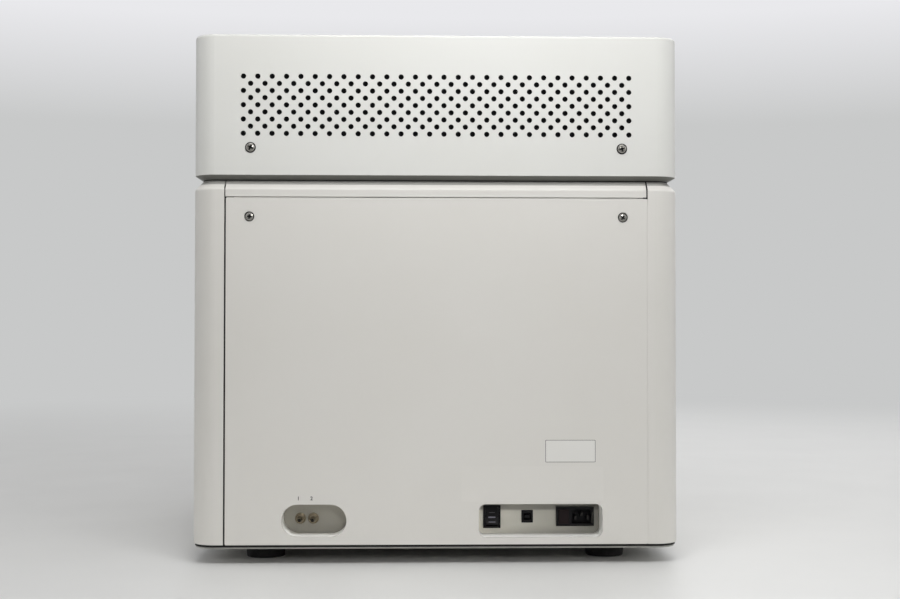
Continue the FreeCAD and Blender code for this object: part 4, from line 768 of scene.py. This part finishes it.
# A black cup that fills the screw's seat as painted shade
SEAT_SHADE_CUP = [(4.8, 0.02), (5.58, 0.02), (5.58, 1.2), (5.3, 1.1), (5.05, 0.5), (4.0, 0.4)]
PANEL_HEAD = [(2.4, -4.5), (2.4, 0.0), (4.6, 0.15), (4.8, 0.35)] + dome(4.8, 0.4, 0.85)
PANEL_CROSS = {"reach": 1.2, "arm": 3.6, "half": 0.95, "depth": 1.7}
PANEL_SPINS = (0.1, 0.6)


def make_panel_screws():
    """A low head in a black cup, which is painted shade in the dark seat, and a painted collar on each side
    of the rear panel.
    """
    places = screw_places("rear_panel_screws", PANEL_SCREW_RADIUS, REAR / MM - PANEL_SEAT)
    for number, (centre, spin) in enumerate(zip(places, PANEL_SPINS)):
        build = bmesh.new()
        hoop(build, centre, COLLAR)
        collar = add_piece(f"panel_screw_collar_{number}", build, case_paint)
        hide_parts("rear_panel_screws")
        build = bmesh.new()
        turn(build, centre, SEAT_SHADE_CUP)
        cup = add_piece(f"panel_screw_seat_shade_cup_{number}", build, black_oxide_and_shade)
        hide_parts("rear_panel_screws")
        build = bmesh.new()
        turn(build, centre, PANEL_HEAD)
        head = add_piece(f"panel_screw_head_{number}", build, screw_steel)
        carve(head, cross_recess(centre, spin, **PANEL_CROSS))
        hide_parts("rear_panel_screws")


SHANK_RADIUS = 3.9
FLANGE = [(SHANK_RADIUS, 0.0), (6.2, 0.05), (6.2, 0.75), (5.4, 0.85), (5.4, 1.1)]
KNURLED_NUT = [(5.55, 1.3, 0.18), (5.55, 4.9, 0.18), (5.2, 5.5)]
STEM_ROOT = [(4.3, 5.7), (4.2, 6.4), (3.7, 6.9), (2.5, 7.1), (2.5, 8.2)]
BARBS = [(3.1, 8.7), (2.55, 10.4), (3.1, 10.9), (2.55, 12.9), (3.1, 13.4), (2.5, 16.6)]
MOUTH = [(2.3, 17.5), (1.95, 17.7), (1.8, 17.5), (1.75, 8.0)]
BORE_SHADE_LINING = [(1.7, 9.0), (1.72, 16.9), (1.5, 17.1), (1.1, 16.6), (0.9, 12.0)]


def make_fittings():
    """Bulkhead fittings: flange, knurled nut and a barbed stem with an open bore, and a black lining in the
    bore as painted shade.
    """
    for node in ("gas_fitting", "waste_fitting"):
        low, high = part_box(node)
        centre = ((low.x + high.x) / 2 / MM, (REAR - BAY_DEPTH) / MM, (low.z + high.z) / 2 / MM)
        shank = [(SHANK_RADIUS, low.y / MM - centre[1])]
        build = bmesh.new()
        turn(build, centre, shank + FLANGE + KNURLED_NUT + STEM_ROOT + BARBS + MOUTH, 72)
        piece = add_piece(node.replace("_fitting", "_bulkhead_fitting"), build, nickel, crease=28)
        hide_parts(node)
        build = bmesh.new()
        turn(build, centre, BORE_SHADE_LINING, 32)
        lining = add_piece(node.replace("_fitting", "_bore_shade_lining"), build, black_rubber)
        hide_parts(node)


# The corners of the framed blank label, the clear film above the port bay and the strip in the right seam
LABEL_FRAME = (-177.8, -121.7, 113.2, 138.0)
LABEL_BLANK = (-177.3, -122.2, 113.7, 137.5)
LABEL_LOWER = (-186.5, -27.8, 69.5, 108.5)
SEAM_STRIP = (-236.75, -236.35, 22.4, 407.6)

# The rocker's axle as (y, z), and its face, which is upright over a bend and slopes out under it
ROCKER_AXLE = (271.5, 48.7)
ROCKER_UPPER = 4.17
ROCKER_LOWER = 4.16
ROCKER_BEND = 0.585
ROCKER_SLOPE = 0.295
ROCKER_TILT = 16.5
RIB_SUNK = 0.05
RIB_THICKNESS = 0.35
RIB_ROUNDING = 0.8

# The ribs' light greys are painted highlights on the black rocker
# A rib's height over the axle, half its own height, half its width, its tilt and its finish
RIBS = (
    (4.7, 0.35, 3.4, 0, dim_glint_grey),
    (-0.6, 0.75, 4.1, ROCKER_TILT, rib_glint_grey),
    (-5.7, 0.4, 3.9, ROCKER_TILT, rib_glint_grey),
)


def make_rocker_ribs():
    """Three moulded ribs across the rocker at rest, in greys lighter than the black rocker as painted
    highlights, the upper one dimmer than the others.
    """
    low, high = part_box("switch_rocker")
    middle = (low.x + high.x) / 2 / MM
    for number, (rise, half, width, tilt, rib_finish) in enumerate(RIBS):
        out = ROCKER_UPPER if rise > 0 else ROCKER_LOWER + (ROCKER_BEND - rise) * ROCKER_SLOPE
        level = ROCKER_AXLE[1] + rise
        corners = (middle - width, middle + width, level - half, level + half)
        face = ROCKER_AXLE[0] + out - RIB_SUNK
        round_off = half * RIB_ROUNDING
        plate(f"rocker_rib_{number}", corners, face, RIB_THICKNESS, round_off, rib_finish, "rocker", tilt)


# The rail gap's centre line as (inset, rise over the rear panel's top), and its section as (x, y)
GAP_PATH = ((0, -0.2), (0, 10.2), (-1.6, 12.6), (-8.2, 19.2))
GAP_SECTION = ((-0.75, -0.6), (0.75, -0.6), (0.75, 0.07), (-0.75, 0.07))
GAP_MIDDLE = 0.6
# The short gap at its foot, as a plate's corners from the rail's end and the rear panel's top
GAP_FOOT = (-1.3, 4.2, -0.35, 1.3)


def make_rail_gap_shade():
    """Black strips as painted shade in the dark open gap at the rail's right end, which turns in under the
    rail.
    """
    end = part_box("rear_top_rail")[0].x / MM
    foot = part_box("rear_panel")[1].z / MM
    build = bmesh.new()
    loops = []
    for inset, rise in GAP_PATH:
        loop = []
        for across, out in GAP_SECTION:
            place = (end - GAP_MIDDLE + across, REAR / MM + inset + out, foot + rise)
            loop.append(build.verts.new(place))
        loops.append(loop)
    join_rings(build, loops)
    add_piece("rail_end_gap_shade", build, black_oxide_and_shade)
    left, right, low, high = GAP_FOOT
    corners = (end + left, end + right, foot + low, foot + high)
    plate("rail_foot_gap_shade", corners, REAR / MM - 0.5, thickness=0.56, round_off=0.3, finish=black_oxide_and_shade)


# The numerals over the two fittings, each with its place along X
NUMERALS = (("1", 153.4), ("2", 138.8))
# A font's size over the height of its figures
FONT_SHARE = 1.38
INK_DEPTH = 0.04
INK_BOLD = 0.14
INK_REACH = 0.03
NUMERAL_HEIGHT = 4.2
NUMERAL_LEVEL = 73.4
FACING_REAR = Matrix(((-1, 0, 0, 0), (0, 0, 1, 0), (0, 1, 0, 0), (0, 0, 0, 1)))


def make_numeral(text, across):
    """A printed numeral on the rear panel, over the fluid bay."""
    curve = bpy.data.curves.new("numeral_curve", "FONT")
    curve.body = text
    curve.size = NUMERAL_HEIGHT * FONT_SHARE * MM
    curve.extrude = INK_DEPTH * MM
    curve.offset = INK_BOLD * MM
    curve.align_x = "CENTER"
    curve.align_y = "CENTER"
    letter = bpy.data.objects.new("numeral_curve", curve)
    scene.collection.objects.link(letter)
    graph = bpy.context.evaluated_depsgraph_get()
    mesh = bpy.data.meshes.new_from_object(letter.evaluated_get(graph))
    bpy.data.objects.remove(letter)
    place = (across * MM, REAR + INK_REACH * MM, NUMERAL_LEVEL * MM)
    mesh.transform(Matrix.Translation(place) @ FACING_REAR)
    mesh.materials.clear()
    mesh.materials.append(ink_grey)
    piece = bpy.data.objects.new(f"numeral_{text}", mesh)
    scene.collection.objects.link(piece)
    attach(piece, "case")


make_hood_screws()
make_vent_shade_sleeves()
make_panel_screws()
make_fittings()
plate("label_frame", LABEL_FRAME, REAR / MM, thickness=0.12, round_off=0.8, finish=ink_grey)
plate("label_blank", LABEL_BLANK, REAR / MM + 0.02, thickness=0.14, round_off=0.6, finish=label_film)
plate("label_lower", LABEL_LOWER, REAR / MM, thickness=0.1, round_off=1.0, finish=clear_film)
make_rail_gap_shade()
plate("right_seam_strip", SEAM_STRIP, REAR / MM - 3, thickness=2.7, round_off=0.15, finish=case_paint)
make_rocker_ribs()
for numeral, numeral_place in NUMERALS:
    make_numeral(numeral, numeral_place)
